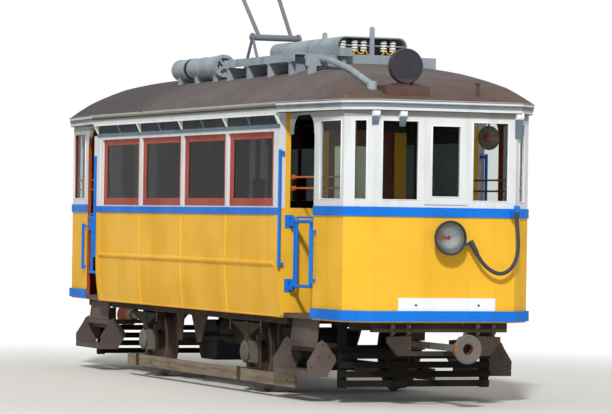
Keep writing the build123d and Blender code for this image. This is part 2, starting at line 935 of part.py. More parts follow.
# Vestibules: a panelled dash with a belt and a bumper round it
def vestibule_ring(bottom, height, outside, inside):
    """A wall on the vestibule plan, open at the doorways, between two distances from its face."""
    with BuildSketch(Plane.XY.offset(bottom)) as ring:
        with BuildLine():
            Polyline(*vestibule_plan(outside), *reversed(vestibule_plan(inside)), close=True)
        make_face()
    extrude(ring.sketch, amount=height)


with BuildPart() as dash:
    vestibule_ring(panel_bottom, vestibule_belt_top - panel_bottom, 0, -vestibule_wall)
both_ends("dash", dash)

with BuildPart() as vestibule_belt:
    vestibule_ring(belt_bottom, vestibule_belt_height, belt_stand_out, 0)
    chamfer(vestibule_belt.edges().group_by(Axis.Z)[-1], 3)
with BuildPart() as belts:
    add(saloon_belt.part)
    mirror(saloon_belt.part, about=Plane.XZ)
    add(vestibule_belt.part)
    mirror(vestibule_belt.part, about=Plane.YZ)
pieces["belts"] = belts

with BuildPart() as bumper:
    vestibule_ring(bumper_bottom, bumper_height, bumper_stand_out, 0)
pieces["bumpers"] = doubled(bumper, Plane.YZ)

# Vestibule window frame: seven openings between the dash and the cornice
side_run, corner_run, front_run = 0, 1, 2
side_window = (128, 596)
corner_window = (104, 224)
front_window = (front_half_width - front_window_outer, front_half_width - front_window_inner)
middle_window = (front_half_width - middle_window_half_width, front_half_width + middle_window_half_width)
vestibule_windows = (
    (side_run, side_window, window_sill, window_head),
    (corner_run, corner_window, window_sill, window_head),
    (front_run, front_window, window_sill, window_head),
    (front_run, middle_window, middle_window_sill, middle_window_head),
)


def wall_block(run, stretch, low, high, outside, inside, mode=Mode.ADD):
    """A box on one run of the vestibule wall, between two distances out from its face."""
    start, end = [Vector(*corner, 0) for corner in vestibule_corners[run : run + 2]]
    wall = Plane(origin=start, x_dir=end - start, z_dir=(0, 0, 1))
    with Locations(wall.location):
        with Locations((sum(stretch) / 2, -(outside + inside) / 2, (low + high) / 2)):
            Box(stretch[1] - stretch[0], outside - inside, high - low, mode=mode)


def window_blocks(outside, inside, mode=Mode.ADD):
    """A box for each vestibule window on both sides, between two distances from the wall's face."""
    for run, stretch, low, high in vestibule_windows:
        wall_block(run, stretch, low, high, outside, inside, mode)
        if stretch is not middle_window:
            start, end = [Vector(*corner, 0) for corner in vestibule_corners[run : run + 2]]
            length = (end - start).length
            last_run = len(vestibule_corners) - 2
            opposite = (length - stretch[1], length - stretch[0])
            wall_block(last_run - run, opposite, low, high, outside, inside, mode)


middle_board_margin = 72
middle_board_drop = 55
middle_board_proud = 12
with BuildPart() as vestibule_frame:
    vestibule_ring(vestibule_belt_top, cornice_bottom - vestibule_belt_top, 0, -vestibule_wall)
    bar(
        (front_x, front_x + middle_board_proud),
        (-middle_window_half_width - middle_board_margin, middle_window_half_width + middle_board_margin),
        (middle_window_sill - middle_board_margin, middle_window_head + middle_board_drop),
    )
    window_blocks(20, -vestibule_wall - 20, Mode.SUBTRACT)
both_ends("vestibule_frame", vestibule_frame)

pane_depth = 18
with BuildPart() as vestibule_glass:
    window_blocks(-pane_depth, -pane_depth - glass_thickness)

# Door arches: a header over each side doorway, with rounded brackets at its ends
arch_bottom = 2590
arch_edge = 12
arch_radius = 160
arch_header = 22
with BuildPart() as door_arches:
    arch_inside = door_post_half_width - vestibule_wall
    with BuildSketch(Plane.XZ.offset(arch_inside)):
        with BuildLine():
            low_x, high_x = saloon_half_length + arch_edge, door_post_x - arch_edge
            header_bottom = cornice_bottom - arch_header
            Polyline(
                (low_x, header_bottom - arch_radius),
                (low_x, arch_bottom),
                (saloon_half_length, arch_bottom),
                (saloon_half_length, cornice_bottom),
                (door_post_x, cornice_bottom),
                (door_post_x, arch_bottom),
                (high_x, arch_bottom),
                (high_x, header_bottom - arch_radius),
            )
            springing = header_bottom - arch_radius
            RadiusArc((high_x, springing), (high_x - arch_radius, header_bottom), -arch_radius)
            Line((high_x - arch_radius, header_bottom), (low_x + arch_radius, header_bottom))
            RadiusArc((low_x + arch_radius, header_bottom), (low_x, springing), -arch_radius)
        make_face()
    extrude(amount=vestibule_wall)
    add(vestibule_frame.part, mode=Mode.SUBTRACT)
    mirror(about=Plane.XZ)
    mirror(about=Plane.YZ)
pieces["door_arches"] = door_arches

# Bulkheads: the saloon's end walls, each with a doorway off its middle between two windows
bulkhead_thickness = 40
doorway_y = (-580, 130)
doorway_top = 2650
near_window_y = (-985, -690)
far_window_y = (250, 985)
bulkhead_window_sill = 1870
bulkhead_window_head = 2740
bulkhead_x = (saloon_half_length - bulkhead_thickness, saloon_half_length)
door_gap = 10
door_thickness = 26
door_overlap = 40
door_travel = 650
door_stile = 90
door_bottom_rail = 800
door_top_rail = 110
door_panel_inset = 8
door_y = (doorway_y[0] - door_overlap, doorway_y[1] + door_overlap)
door_middle = sum(door_y) / 2
door_top = doorway_top + 20
door_bottom = floor_top + door_gap
door_outside = bulkhead_x[0] - door_gap
door_inside = door_outside - door_thickness
track_depth = 46
track_height = 48


def turned(block):
    """The same piece at the other end of the car, turned end for end."""
    with BuildPart() as copy:
        add(block.part.rotate(Axis.Z, 180))
    return copy


with BuildPart() as above_ceiling:
    bar(bulkhead_x, (-eave_half_width, eave_half_width), (cornice_top, roof_crown + roof_thickness))
    add(ceiling_form, mode=Mode.SUBTRACT)

with BuildPart() as bulkhead:
    bar(bulkhead_x, (-wall_inside, wall_inside), (floor_top, roof_crown))
    add(above_ceiling.part, mode=Mode.SUBTRACT)
    bar(bulkhead_x, doorway_y, (floor_top, doorway_top), Mode.SUBTRACT)
    for window_y in (near_window_y, far_window_y):
        bar(bulkhead_x, window_y, (bulkhead_window_sill, bulkhead_window_head), Mode.SUBTRACT)
    bar(
        (bulkhead_x[0] - track_depth, bulkhead_x[0]),
        (door_y[0] - 2 * door_gap, door_y[1] + door_travel + 2 * door_gap),
        (door_top + door_gap, door_top + door_gap + track_height),
    )
pieces["bulkhead_front"] = bulkhead
pieces["bulkhead_rear"] = turned(bulkhead)

with BuildPart() as bulkhead_glass:
    pane_x = saloon_half_length - bulkhead_thickness / 2
    for window_y in (near_window_y, far_window_y):
        bar(
            (pane_x - glass_thickness / 2, pane_x + glass_thickness / 2),
            window_y,
            (bulkhead_window_sill, bulkhead_window_head),
        )
with BuildPart() as window_panes:
    add(saloon_glass.part)
    mirror(saloon_glass.part, about=Plane.XZ)
    add(vestibule_glass.part)
    mirror(vestibule_glass.part, about=Plane.YZ)
    add(bulkhead_glass.part)
    add(bulkhead_glass.part.rotate(Axis.Z, 180))
pieces["window_panes"] = window_panes

# Safety rails: two rods along each side of a platform, across the doorway and the side window
safety_rail_heights = (2064, 2172)
safety_rail_radius = 9
safety_rail_start = (saloon_half_length, -952)
safety_rail_end = (4088, -912)
rail_bracket = 22
with BuildPart() as window_rails:
    for level in safety_rail_heights:
        rod((*safety_rail_start, level), (*safety_rail_end, level), safety_rail_radius)
        bar(
            (saloon_half_length, saloon_half_length + rail_bracket / 2),
            (safety_rail_start[1] - rail_bracket, safety_rail_start[1] + rail_bracket),
            (level - rail_bracket, level + rail_bracket),
        )
        for foot_x in (door_post_x + door_post_width / 2, safety_rail_end[0] - rail_bracket):
            share = (foot_x - safety_rail_start[0]) / (safety_rail_end[0] - safety_rail_start[0])
            foot_y = safety_rail_start[1] + share * (safety_rail_end[1] - safety_rail_start[1])
            bar(
                (foot_x - rail_bracket / 2, foot_x + rail_bracket / 2),
                (foot_y - vestibule_wall, foot_y),
                (level - rail_bracket / 2, level + rail_bracket / 2),
            )
    add(pieces["vestibule_frame_front"].part, mode=Mode.SUBTRACT)
    mirror(about=Plane.XZ)
    mirror(about=Plane.YZ)
pieces["window_rails"] = window_rails

# Saloon doors: each slides across its bulkhead on the saloon side, under the track
door_handle_y = door_y[0] + 40
door_handle_z = (1770, 1990)
door_handle_radius = 11
door_handle_reach = 30
with BuildPart() as saloon_door:
    bar((door_inside, door_outside), door_y, (door_bottom, door_top))
    glazing_y = (door_y[0] + door_stile, door_y[1] - door_stile)
    glazing_z = (door_bottom + door_bottom_rail, door_top - door_top_rail)
    bar((door_inside, door_outside), glazing_y, glazing_z, Mode.SUBTRACT)
    for side in (-1, 1):
        bar(
            (door_inside, door_inside + door_panel_inset),
            (door_middle + side * door_stile / 4, door_middle + side * (glazing_y[1] - door_middle)),
            (door_bottom + 1.3 * door_stile, glazing_z[0] - door_stile),
            Mode.SUBTRACT,
        )
    bar((door_inside + 10, door_inside + 10 + glass_thickness), glazing_y, glazing_z)
    grip_x = door_inside - door_handle_reach
    grip_low, grip_high = door_handle_z
    rod((grip_x, door_handle_y, grip_low), (grip_x, door_handle_y, grip_high), door_handle_radius)
    for level in (grip_low + door_handle_radius, grip_high - door_handle_radius):
        rod((grip_x, door_handle_y, level), (door_inside, door_handle_y, level), door_handle_radius - 2)
pieces["saloon_door_front"] = saloon_door
pieces["saloon_door_rear"] = turned(saloon_door)

# Gates: a folding lattice of bars across each doorway, swinging inward on two pins
gate_pin_x = 2870
gate_y = 975
gate_pin_radius = 12
gate_pin_clearance = 0.5
gate_eye_radius = 24
gate_eye_height = 56
gate_top = 1738
gate_bottom = 1112
gate_end = 3436
gate_upper_bar = 1779
gate_rods = ((2908, 9), (2973, 15), (3333, 16))
gate_bar_radius = 17
latch_x = 3415
latch_bottom = 1590
with BuildPart() as gate:
    for level in (gate_top, gate_bottom):
        with Locations((gate_pin_x, -gate_y, level)):
            Cylinder(gate_eye_radius, gate_eye_height)
        rod((gate_pin_x, -gate_y, level), (latch_x, -gate_y, level), gate_bar_radius)
        with Locations((gate_pin_x, -gate_y, level)):
            Cylinder(gate_pin_radius + gate_pin_clearance, gate_eye_height, mode=Mode.SUBTRACT)
    for rod_x, radius in gate_rods:
        rod((rod_x, -gate_y, gate_bottom), (rod_x, -gate_y, gate_top), radius)
    rod((gate_rods[1][0], -gate_y, gate_upper_bar), (gate_end - 30, -gate_y, gate_upper_bar), 9)
    for post in (gate_rods[1][0] + 12, gate_end - 42):
        rod((post, -gate_y, gate_top), (post, -gate_y, gate_upper_bar), 9)
    rod((latch_x, -gate_y, latch_bottom), (latch_x, -gate_y, gate_top), 14)
    rod((gate_rods[2][0], -gate_y, latch_bottom + 14), (latch_x, -gate_y, latch_bottom + 14), 10)
    with Locations((latch_x, -gate_y, gate_top)):
        Sphere(22)
with BuildPart() as gate_far:
    mirror(gate.part, about=Plane.XZ)
pieces["gate_front_near"] = gate
pieces["gate_front_far"] = gate_far
pieces["gate_rear_near"] = mirrored(gate, Plane.YZ)
pieces["gate_rear_far"] = mirrored(gate_far, Plane.YZ)

# Gate hinges: a plate on the corner post with two arms that hold each pin
hinge_plate = 12
hinge_plate_y = (-62, 24)
hinge_plate_half_height = 62
hinge_arm = 14
hinge_gap = 3
with BuildPart() as gate_hinges:
    for level in (gate_top, gate_bottom):
        bar(
            (saloon_half_length, saloon_half_length + hinge_plate),
            (hinge_plate_y[0] - gate_y, hinge_plate_y[1] - gate_y),
            (level - hinge_plate_half_height, level + hinge_plate_half_height),
        )
        for side in (-1, 1):
            arm = level + side * (gate_eye_height / 2 + hinge_gap)
            bar(
                (saloon_half_length, gate_pin_x),
                (-gate_y - gate_eye_radius, -gate_y + gate_eye_radius),
                (arm, arm + side * hinge_arm),
            )
            with Locations((gate_pin_x, -gate_y, arm + side * hinge_arm / 2)):
                Cylinder(gate_eye_radius, hinge_arm)
        pin_half = gate_eye_height / 2 + hinge_gap + hinge_arm
        rod((gate_pin_x, -gate_y, level - pin_half), (gate_pin_x, -gate_y, level + pin_half), gate_pin_radius)
    mirror(about=Plane.XZ)
    mirror(about=Plane.YZ)
pieces["gate_hinges"] = gate_hinges

# Handrails: a long one at each corner of the saloon, a short one on each dash
grip_radius = 16
long_grip = (2846, 1112, 1290, 2440)
short_grip = (3500, 1034, 1144, 1670)
grip_foot = 30
with BuildPart() as handrails:
    grip_x, grip_y, low, high = long_grip
    rod((grip_x, -grip_y, low), (grip_x, -grip_y, high), grip_radius)
    for level in (low + grip_foot, high - grip_foot):
        bar(
            (saloon_half_length, grip_x),
            (-grip_y, -saloon_half_width + 40),
            (level - grip_foot / 2, level + grip_foot / 2),
        )
    grip_x, grip_y, low, high = short_grip
    rod((grip_x, -grip_y, low), (grip_x, -grip_y, high), grip_radius)
    for level in (low + grip_foot, high - grip_foot):
        bar(
            (grip_x - grip_foot / 2, grip_x + grip_foot / 2),
            (-grip_y, -door_post_half_width + vestibule_wall / 2),
            (level - grip_foot / 2, level + grip_foot / 2),
        )
    add(dash.part, mode=Mode.SUBTRACT)
    mirror(about=Plane.XZ)
    mirror(about=Plane.YZ)
pieces["handrails"] = handrails

# Steps: below each doorway, a board and a tread between two side plates, with a riser behind
step_plate_x = (2660, 3560)
step_plate_thickness = 12
step_plate_outline = (
    (-1081, 309),
    (-1083, 395),
    (-1002, 520),
    (-972, 577),
    (-931, 606),
    (-793, 452),
    (-782, 404),
    (-853, 289),
)
step_board_y = (-1080, -862)
step_board_z = (251, 305)
step_tread_x = (2800, 3500)
step_tread_y = (-957, -750)
step_tread_z = (527, 575)
riser_top_y = -930
riser_thickness = 20
with BuildPart() as steps:
    for plate_x, direction in zip(step_plate_x, (1, -1)):
        with BuildSketch(Plane.YZ.offset(plate_x)):
            with BuildLine():
                Polyline(*step_plate_outline, close=True)
            make_face()
        extrude(amount=direction * step_plate_thickness)
    bar(step_plate_x, step_board_y, step_board_z)
    bar(step_tread_x, step_tread_y, step_tread_z)
    bar(step_plate_x, (step_board_y[1] - 23, step_board_y[1] + 12), (step_tread_z[0] - 50, step_tread_z[0]))
    with BuildSketch(Plane.YZ.offset(step_tread_x[0])):
        with BuildLine():
            Polyline(
                (riser_top_y, panel_bottom),
                (step_tread_y[0], step_tread_z[1]),
                (step_tread_y[0] + riser_thickness, step_tread_z[1]),
                (riser_top_y + riser_thickness, panel_bottom),
                close=True,
            )
        make_face()
    extrude(amount=door_post_x - step_tread_x[0])
    mirror(about=Plane.XZ)
    mirror(about=Plane.YZ)
pieces["steps"] = steps

# Number plate: a blank plate on the front dash
plate_y = (-470, 540)
plate_z = (910, 1033)
plate_thickness = 4
with BuildPart() as number_plate:
    bar((front_x, front_x + plate_thickness), plate_y, plate_z)
pieces["number_plate"] = number_plate

# Headlamps: an open bowl with a lens in its rim and a bulb inside
lamp_height = 1605
lamp_radius = 166
lamp_depth = 157
lamp_wall = 9
lamp_neck = 62
lamp_rim = 34
lens_thickness = 7
with BuildPart() as headlamp:
    with BuildSketch(Plane.XZ):
        lamp_face = front_x + lamp_depth
        with BuildLine():
            Polyline(
                (front_x, lamp_height),
                (front_x, lamp_height + lamp_neck),
                (front_x + 24, lamp_height + lamp_neck),
            )
            ThreePointArc(
                (front_x + 24, lamp_height + lamp_neck),
                (front_x + 62, lamp_height + 128),
                (lamp_face - lamp_rim, lamp_height + lamp_radius - 8),
            )
            Polyline(
                (lamp_face - lamp_rim, lamp_height + lamp_radius - 8),
                (lamp_face - lamp_rim, lamp_height + lamp_radius),
                (lamp_face, lamp_height + lamp_radius),
                (lamp_face, lamp_height + lamp_radius - 18),
                (lamp_face - lamp_rim, lamp_height + lamp_radius - 18),
            )
            ThreePointArc(
                (lamp_face - lamp_rim, lamp_height + lamp_radius - 18),
                (front_x + 72, lamp_height + 112),
                (front_x + 44, lamp_height),
            )
            Line((front_x + 44, lamp_height), (front_x, lamp_height))
        make_face()
    revolve(axis=Axis((0, 0, lamp_height), (1, 0, 0)))
    rod((front_x + 40, 0, lamp_height), (front_x + 76, 0, lamp_height), 11)
    with Locations((front_x + 86, 0, lamp_height)):
        Sphere(19)
    lens_back = lamp_face - lamp_rim + 12
    rod((lens_back, 0, lamp_height), (lens_back + lens_thickness, 0, lamp_height), lamp_radius - 18)
pieces["headlamps"] = doubled(headlamp, Plane.YZ)

# Jumper cable: hangs in front of the dash from a socket at the belt's corner to a plug by the lamp
cable_x = 4400
cable_radius = 18.5
cable_points = (
    (267, 1509),
    (329, 1400),
    (403, 1324),
    (488, 1277),
    (560, 1267),
    (625, 1293),
    (677, 1343),
    (716, 1422),
    (731, 1530),
    (724, 1660),
    (709, 1770),
    (709.5, 1861),
)
cable_route = [Vector(cable_x, y, z) for y, z in cable_points]
cable_runs = [end - start for start, end in zip(cable_route, cable_route[1:])]
cable_radii = []
for before, after in zip(cable_runs, cable_runs[1:]):
    half_turn = radians(before.get_angle(after)) / 2
    cable_radii.append(0.45 * min(before.length, after.length) / tan(half_turn))
print("cable radii", [round(radius) for radius in cable_radii])
with BuildPart() as jumper_cable:
    with BuildLine() as cable_line:
        FilletPolyline(*cable_route, radius=cable_radii)
    with BuildSketch(cable_line.line ^ 0):
        Circle(cable_radius)
    sweep()
cable_length = sum(edge.length for edge in cable_line.line.edges())
cable_volume = pi * cable_radius**2 * cable_length
print("cable length", round(cable_length), "volume ratio", round(jumper_cable.part.volume / cable_volume, 4))
pieces["jumper_cable"] = jumper_cable

plug_radius = 26
plug_length = 78
with BuildPart() as jumper_plug:
    plug_axis = cable_runs[0].normalized()
    rod(cable_route[0], cable_route[0] - plug_axis * plug_length, plug_radius)
pieces["jumper_plug"] = jumper_plug

socket_length = 60
socket_plate_width = 60
socket_plate_margin = 8
plug_bracket_width = 58
with BuildPart() as jumper_sockets:
    rod(cable_route[-1], cable_route[-1] + Vector(0, 0, socket_length), plug_radius)
    bar(
        (front_x + belt_stand_out, cable_x),
        (cable_points[-1][0] - socket_plate_width / 2, cable_points[-1][0] + socket_plate_width / 2),
        (belt_bottom + socket_plate_margin, belt_top - socket_plate_margin),
    )
    bar(
        (front_x, cable_x - plug_radius),
        (cable_points[0][0] - plug_bracket_width, cable_points[0][0]),
        (cable_points[0][1] + plug_radius, cable_points[0][1] + 2 * plug_radius),
    )
    add(jumper_plug.part, mode=Mode.SUBTRACT)
    add(jumper_cable.part, mode=Mode.SUBTRACT)
pieces["jumper_sockets"] = jumper_sockets

# Control drum on the roof: a long cylinder on feet, with a spoked end plate
drum_y = -550
drum_height = 3386
drum_radius = 112
drum_sections = ((-1590, -1203, 112), (-1203, -1108, 94), (-1108, -208, 112), (-250, -208, 120))
drum_feet = (-1440, -900, -330)
drum_opening = 86
drum_recess = 60
spoke_width = 22
foot_depth = 260
with BuildPart() as roof_drum:
    for low, high, radius in drum_sections:
        rod((low, drum_y, drum_height), (high, drum_y, drum_height), radius)
    drum_face = drum_sections[-1][1]
    rod(
        (drum_face - drum_recess, drum_y, drum_height),
        (drum_face, drum_y, drum_height),
        drum_opening,
        Mode.SUBTRACT,
    )
    for angle in (40, 130):
        with Locations(Location((drum_face - 14, drum_y, drum_height), (angle, 0, 0))):
            Box(14, spoke_width, 2 * drum_opening + 4)
    for foot in drum_feet:
        bar((foot - 40, foot + 40), (drum_y - 75, drum_y + 75), (drum_height - foot_depth, drum_height - 80))
    add(outside_form, mode=Mode.SUBTRACT)
pieces["roof_drum"] = roof_drum

# Cable tray and conduit on the roof
tray_x = (20, 2024)
tray_y = (-650, -394)
tray_z = (3350, 3430)
tray_plate = 10
tray_feet = (120, 700, 1300, 1880)
tray_foot_half = 30
conduit_radius = 33
conduit_bend = 500
conduit_points = (
    (1998, -500, 3392),
    (2746, -557, 3334),
    (3366, -605, 3222),
    (3824, -640, 3098),
    (4034, -656, 3046),
)
conduit_end_radius = 50
conduit_end_length = 70
with BuildPart() as roof_conduit:
    bar(tray_x, tray_y, (tray_z[1] - tray_plate, tray_z[1]))
    for edge in (tray_y[0], tray_y[1] - tray_plate):
        bar(tray_x, (edge, edge + tray_plate), tray_z)
    for foot in tray_feet:
        foot_x = (foot - tray_foot_half, foot + tray_foot_half)
        bar(foot_x, (tray_y[0] + tray_plate, tray_y[1] - tray_plate), (tray_z[1] - foot_depth, tray_z[0]))
        bar(foot_x, tray_y, (tray_z[0] - tray_plate, tray_z[0]))
    with BuildLine() as conduit_line:
        FilletPolyline(*conduit_points, radius=conduit_bend)
    with BuildSketch(conduit_line.line ^ 0):
        Circle(conduit_radius)
    sweep()
    conduit_end = Vector(conduit_points[-1])
    rod(
        conduit_end + Vector(0, 0, conduit_end_length / 2),
        conduit_end - Vector(0, 0, conduit_end_length),
        conduit_end_radius,
    )
    add(outside_form, mode=Mode.SUBTRACT)
pieces["roof_conduit"] = roof_conduit

# Resistor bank: three hooded sections on cross beams, the front one open over a row of insulators
bank_half_width = 380
bank_bottom = 3400
bank_top = 3592
bank_corner = 90
bank_wall = 12
bank_sections = ((670, 1050), (1130, 1980), (2030, 2500))
bank_beams = ((860, 330), (1550, 330), (2475, 700))
beam_width = 50
beam_bottom = 3285
last_beam = bank_beams[-1][0]
end_foot_y = (600, 680)
end_foot_bottom = 3100
end_box_y = (-390, -260)
end_box_reach = (10, 100)
bank_links = ((1050, 1130), (1980, 2030))
insulator_rows = (-298, -168, -70, 148, 247)
insulator_x = 2440
insulator_foot = 3450
bank_lugs = (1250, 2490)
with BuildPart() as resistor_bank:
    for low, high in bank_sections:
        with BuildSketch(Plane.YZ.offset(low)) as section_sketch:
            with Locations((0, (bank_bottom + bank_top) / 2)):
                Rectangle(2 * bank_half_width, bank_top - bank_bottom)
            fillet(section_sketch.vertices().group_by(Axis.Y)[-1], bank_corner)
        extrude(amount=high - low)
    for low, high in bank_links:
        bar((low, high), (-bank_half_width + 60, bank_half_width - 60), (bank_bottom, bank_top - 50))
    with BuildSketch(Plane.YZ.offset(bank_sections[-1][0] + bank_wall)) as hollow_sketch:
        with Locations((0, (bank_bottom + bank_top) / 2)):
            Rectangle(2 * (bank_half_width - bank_wall), bank_top - bank_bottom - 2 * bank_wall)
        fillet(hollow_sketch.vertices().group_by(Axis.Y)[-1], bank_corner - bank_wall)
    extrude(amount=bank_sections[-1][1] - bank_sections[-1][0], mode=Mode.SUBTRACT)
    bar((bank_sections[-1][1] - 30, bank_sections[-1][1]), (-22, 22), (bank_bottom, bank_top))
    rod((insulator_x, -bank_half_width, 3505), (insulator_x, bank_half_width, 3505), 8)
    for row in insulator_rows:
        rod((insulator_x, row, bank_bottom), (insulator_x, row, insulator_foot), 10)
        for level, radius, height in ((3452, 30, 24), (3476, 18, 56), (3532, 30, 24)):
            rod((insulator_x, row, level), (insulator_x, row, level + height), radius)
    for lug in bank_lugs:
        bar((lug - 10, lug + 10), (-24, 24), (bank_top, bank_top + 80))
        rod((lug - 10, 0, bank_top + 80), (lug + 10, 0, bank_top + 80), 24)
    for station, half in bank_beams:
        bar((station - beam_width / 2, station + beam_width / 2), (-half, half), (beam_bottom, bank_bottom))
    for side in (-1, 1):
        bar(
            (last_beam - beam_width / 2, last_beam + beam_width / 2),
            (side * end_foot_y[0], side * end_foot_y[1]),
            (end_foot_bottom, beam_bottom),
        )
    bank_end = bank_sections[-1][1]
    bar(
        (bank_end + end_box_reach[0], bank_end + end_box_reach[1]),
        end_box_y,
        (bank_bottom - bank_wall, bank_bottom + 6 * bank_wall),
    )
    bar((bank_end, bank_end + beam_width), (end_box_y[0] + 45, end_box_y[1] - 45), (beam_bottom, bank_bottom))
    add(outside_form, mode=Mode.SUBTRACT)
    add(roof_conduit.part, mode=Mode.SUBTRACT)
pieces["resistor_bank"] = resistor_bank

# Signal disc, sign box and a bracket over the front window
disc_centre = (4200, -370, 3228)
disc_radius = 166
disc_depth = 70
disc_leg = 26
sign_box_x = (3960, 4250)
sign_box_y = (-600, -151)
sign_box_z = (2930, 3040)
bracket_place = (4200, 375)
bracket_radius = 15
bracket_top = 3088
with BuildPart() as roof_signals:
    disc_x, disc_y, disc_z = disc_centre
    rod((disc_x - disc_depth, disc_y, disc_z), (disc_x, disc_y, disc_z), disc_radius)
    for leg in (-70, 70):
        bar(
            (disc_x - 2 * disc_leg, disc_x - disc_leg),
            (disc_y + leg - disc_leg / 2, disc_y + leg + disc_leg / 2),
            (sign_box_z[0] + disc_leg, disc_z - disc_radius + disc_leg),
        )
    bar(sign_box_x, sign_box_y, sign_box_z)
    rod((*bracket_place, sign_box_z[0]), (*bracket_place, bracket_top), bracket_radius)
    rod((*bracket_place, bracket_top - bracket_radius), (*bracket_place, bracket_top), 2 * bracket_radius)
    add(outside_form, mode=Mode.SUBTRACT)
pieces["roof_signals"] = roof_signals

# Bow collector: two trestles on the roof carry the axle of a bow that leans to the rear
bow_pivot = (-140, 3700)
trestle_y = (250, 280)
trestle_foot = 300
bow_axle_radius = 22
bow_axle_clearance = 0.5
bow_eye_radius = 46
bow_tube_radius = 21
bow_arm_y = 185
bow_shoulder = (-1240, 250, 4800)
bow_tip = (-1640, 600, 5200)
bow_horn = (-1590, 740, 5150)
bow_bend = 60
with BuildPart() as collector_base:
    for side in (-1, 1):
        middle = side * sum(trestle_y) / 2
        for foot in (-1, 1):
            rod((bow_pivot[0] + foot * trestle_foot, middle, 3240), (bow_pivot[0], middle, bow_pivot[1]), 15)
        bar((bow_pivot[0] - 180, bow_pivot[0] + 180), (middle - 10, middle + 10), (3440, 3470))
        rod(
            (bow_pivot[0], side * trestle_y[0], bow_pivot[1]),
            (bow_pivot[0], side * trestle_y[1], bow_pivot[1]),
            bow_eye_radius,
        )
    for foot in (-1, 1):
        bar(
            (bow_pivot[0] + foot * trestle_foot - 40, bow_pivot[0] + foot * trestle_foot + 40),
            (-trestle_y[1] - 30, trestle_y[1] + 30),
            (3200, 3312),
        )
    rod(
        (bow_pivot[0], -trestle_y[1], bow_pivot[1]),
        (bow_pivot[0], trestle_y[1], bow_pivot[1]),
        bow_axle_radius + bow_axle_clearance,
        Mode.SUBTRACT,
    )
    add(outside_form, mode=Mode.SUBTRACT)
pieces["collector_base"] = collector_base

with BuildPart() as collector_bow:
    pivot_x, pivot_z = bow_pivot
    rod((pivot_x, -trestle_y[1] - 16, pivot_z), (pivot_x, trestle_y[1] + 16, pivot_z), bow_axle_radius)
    rod((pivot_x, -trestle_y[0] + 6, pivot_z), (pivot_x, trestle_y[0] - 6, pivot_z), bow_axle_radius + 12)
    for side in (-1, 1):
        with BuildLine() as arm_line:
            FilletPolyline(
                (pivot_x, side * bow_arm_y, pivot_z),
                (bow_shoulder[0], side * bow_shoulder[1], bow_shoulder[2]),
                (bow_tip[0], side * bow_tip[1], bow_tip[2]),
                (bow_horn[0], side * bow_horn[1], bow_horn[2]),
                radius=bow_bend,
            )
        with BuildSketch(arm_line.line ^ 0):
            Circle(bow_tube_radius)
        sweep()
    rod(
        (bow_shoulder[0], -bow_shoulder[1], bow_shoulder[2]),
        (bow_shoulder[0], bow_shoulder[1], bow_shoulder[2]),
        bow_tube_radius - 5,
    )
    rod((bow_tip[0], -bow_tip[1], bow_tip[2]), (bow_tip[0], bow_tip[1], bow_tip[2]), bow_tube_radius - 3)
pieces["collector_bow"] = collector_bow

# Saloon benches, one along each side, and grab poles
bench_end_gap = 170
bench_half_length = saloon_half_length - bulkhead_thickness - bench_end_gap
bench_front = 600
seat_top = 1285
seat_thickness = 40
bench_board = 20
bench_back_top = 1700
pole_radius = 16
pole_y = 480
pole_stations = (-1800, -600, 600, 1800)
pole_top = 3240
with BuildPart() as benches:
    for side in (-1, 1):
        bar(
            (-bench_half_length, bench_half_length),
            (side * bench_front, side * (bench_front + bench_board)),
            (floor_top, seat_top - seat_thickness),
        )
        bar(
            (-bench_half_length, bench_half_length),
            (side * bench_front, side * wall_inside),
            (seat_top - seat_thickness, seat_top),
        )
        bar(
            (-bench_half_length, bench_half_length),
            (side * (wall_inside - 2 * bench_board), side * wall_inside),
            (seat_top, bench_back_top),
        )
pieces["benches"] = benches

with BuildPart() as poles:
    for station in pole_stations:
        for side in (-1, 1):
            rod((station, side * pole_y, floor_top), (station, side * pole_y, pole_top), pole_radius)
    for station, side in ((-1800, 1), (600, 1), (1800, -1)):
        bar((station - 60, station + 60), (side * pole_y - 50, side * pole_y + 50), (1950, 2200))
    add(roof.part, mode=Mode.SUBTRACT)
pieces["poles"] = poles

# Driving stands: a controller and a hand brake column on each platform
controller_x = 3950
controller_y = 270
controller_top = 1750
brake_column_y = -300
with BuildPart() as driving_stand:
    bar(
        (controller_x - 110, controller_x + 110),
        (controller_y - 130, controller_y + 130),
        (floor_top, controller_top - 60),
    )
    rod((controller_x, controller_y, controller_top - 60), (controller_x, controller_y, controller_top), 120)
    rod((controller_x, controller_y, controller_top), (controller_x, controller_y, controller_top + 60), 16)
    bar(
        (controller_x - 190, controller_x + 20),
        (controller_y - 14, controller_y + 14),
        (controller_top + 40, controller_top + 60),
    )
    rod(
        (controller_x - 178, controller_y, controller_top + 60),
        (controller_x - 178, controller_y, controller_top + 130),
        14,
    )
    rod((controller_x, brake_column_y, floor_top), (controller_x, brake_column_y, floor_top + 40), 90)
    rod((controller_x, brake_column_y, floor_top), (controller_x, brake_column_y, controller_top), 38)
    with Locations((controller_x, brake_column_y, controller_top + 20)):
        Torus(160, 15)
    with Locations((controller_x, brake_column_y, controller_top + 20)):
        Box(2 * 160, 18, 12)
        Box(18, 2 * 160, 12)
        Cylinder(46, 40)
pieces["driving_stands"] = doubled(driving_stand, Plane.YZ)

# Cabinet and round lamp in the front vestibule
cabinet_x = (3720, 4060)
cabinet_y = (-900, -560)
cabinet_top = 2460
cab_lamp_centre = (4120, 535, 2568)
cab_lamp_radius = 117
cab_lamp_hook = 2760
with BuildPart() as cabinet:
    bar(cabinet_x, cabinet_y, (floor_top, cabinet_top))
    chamfer(cabinet.edges().filter_by(Axis.Z), 12)
pieces["cabinet"] = cabinet

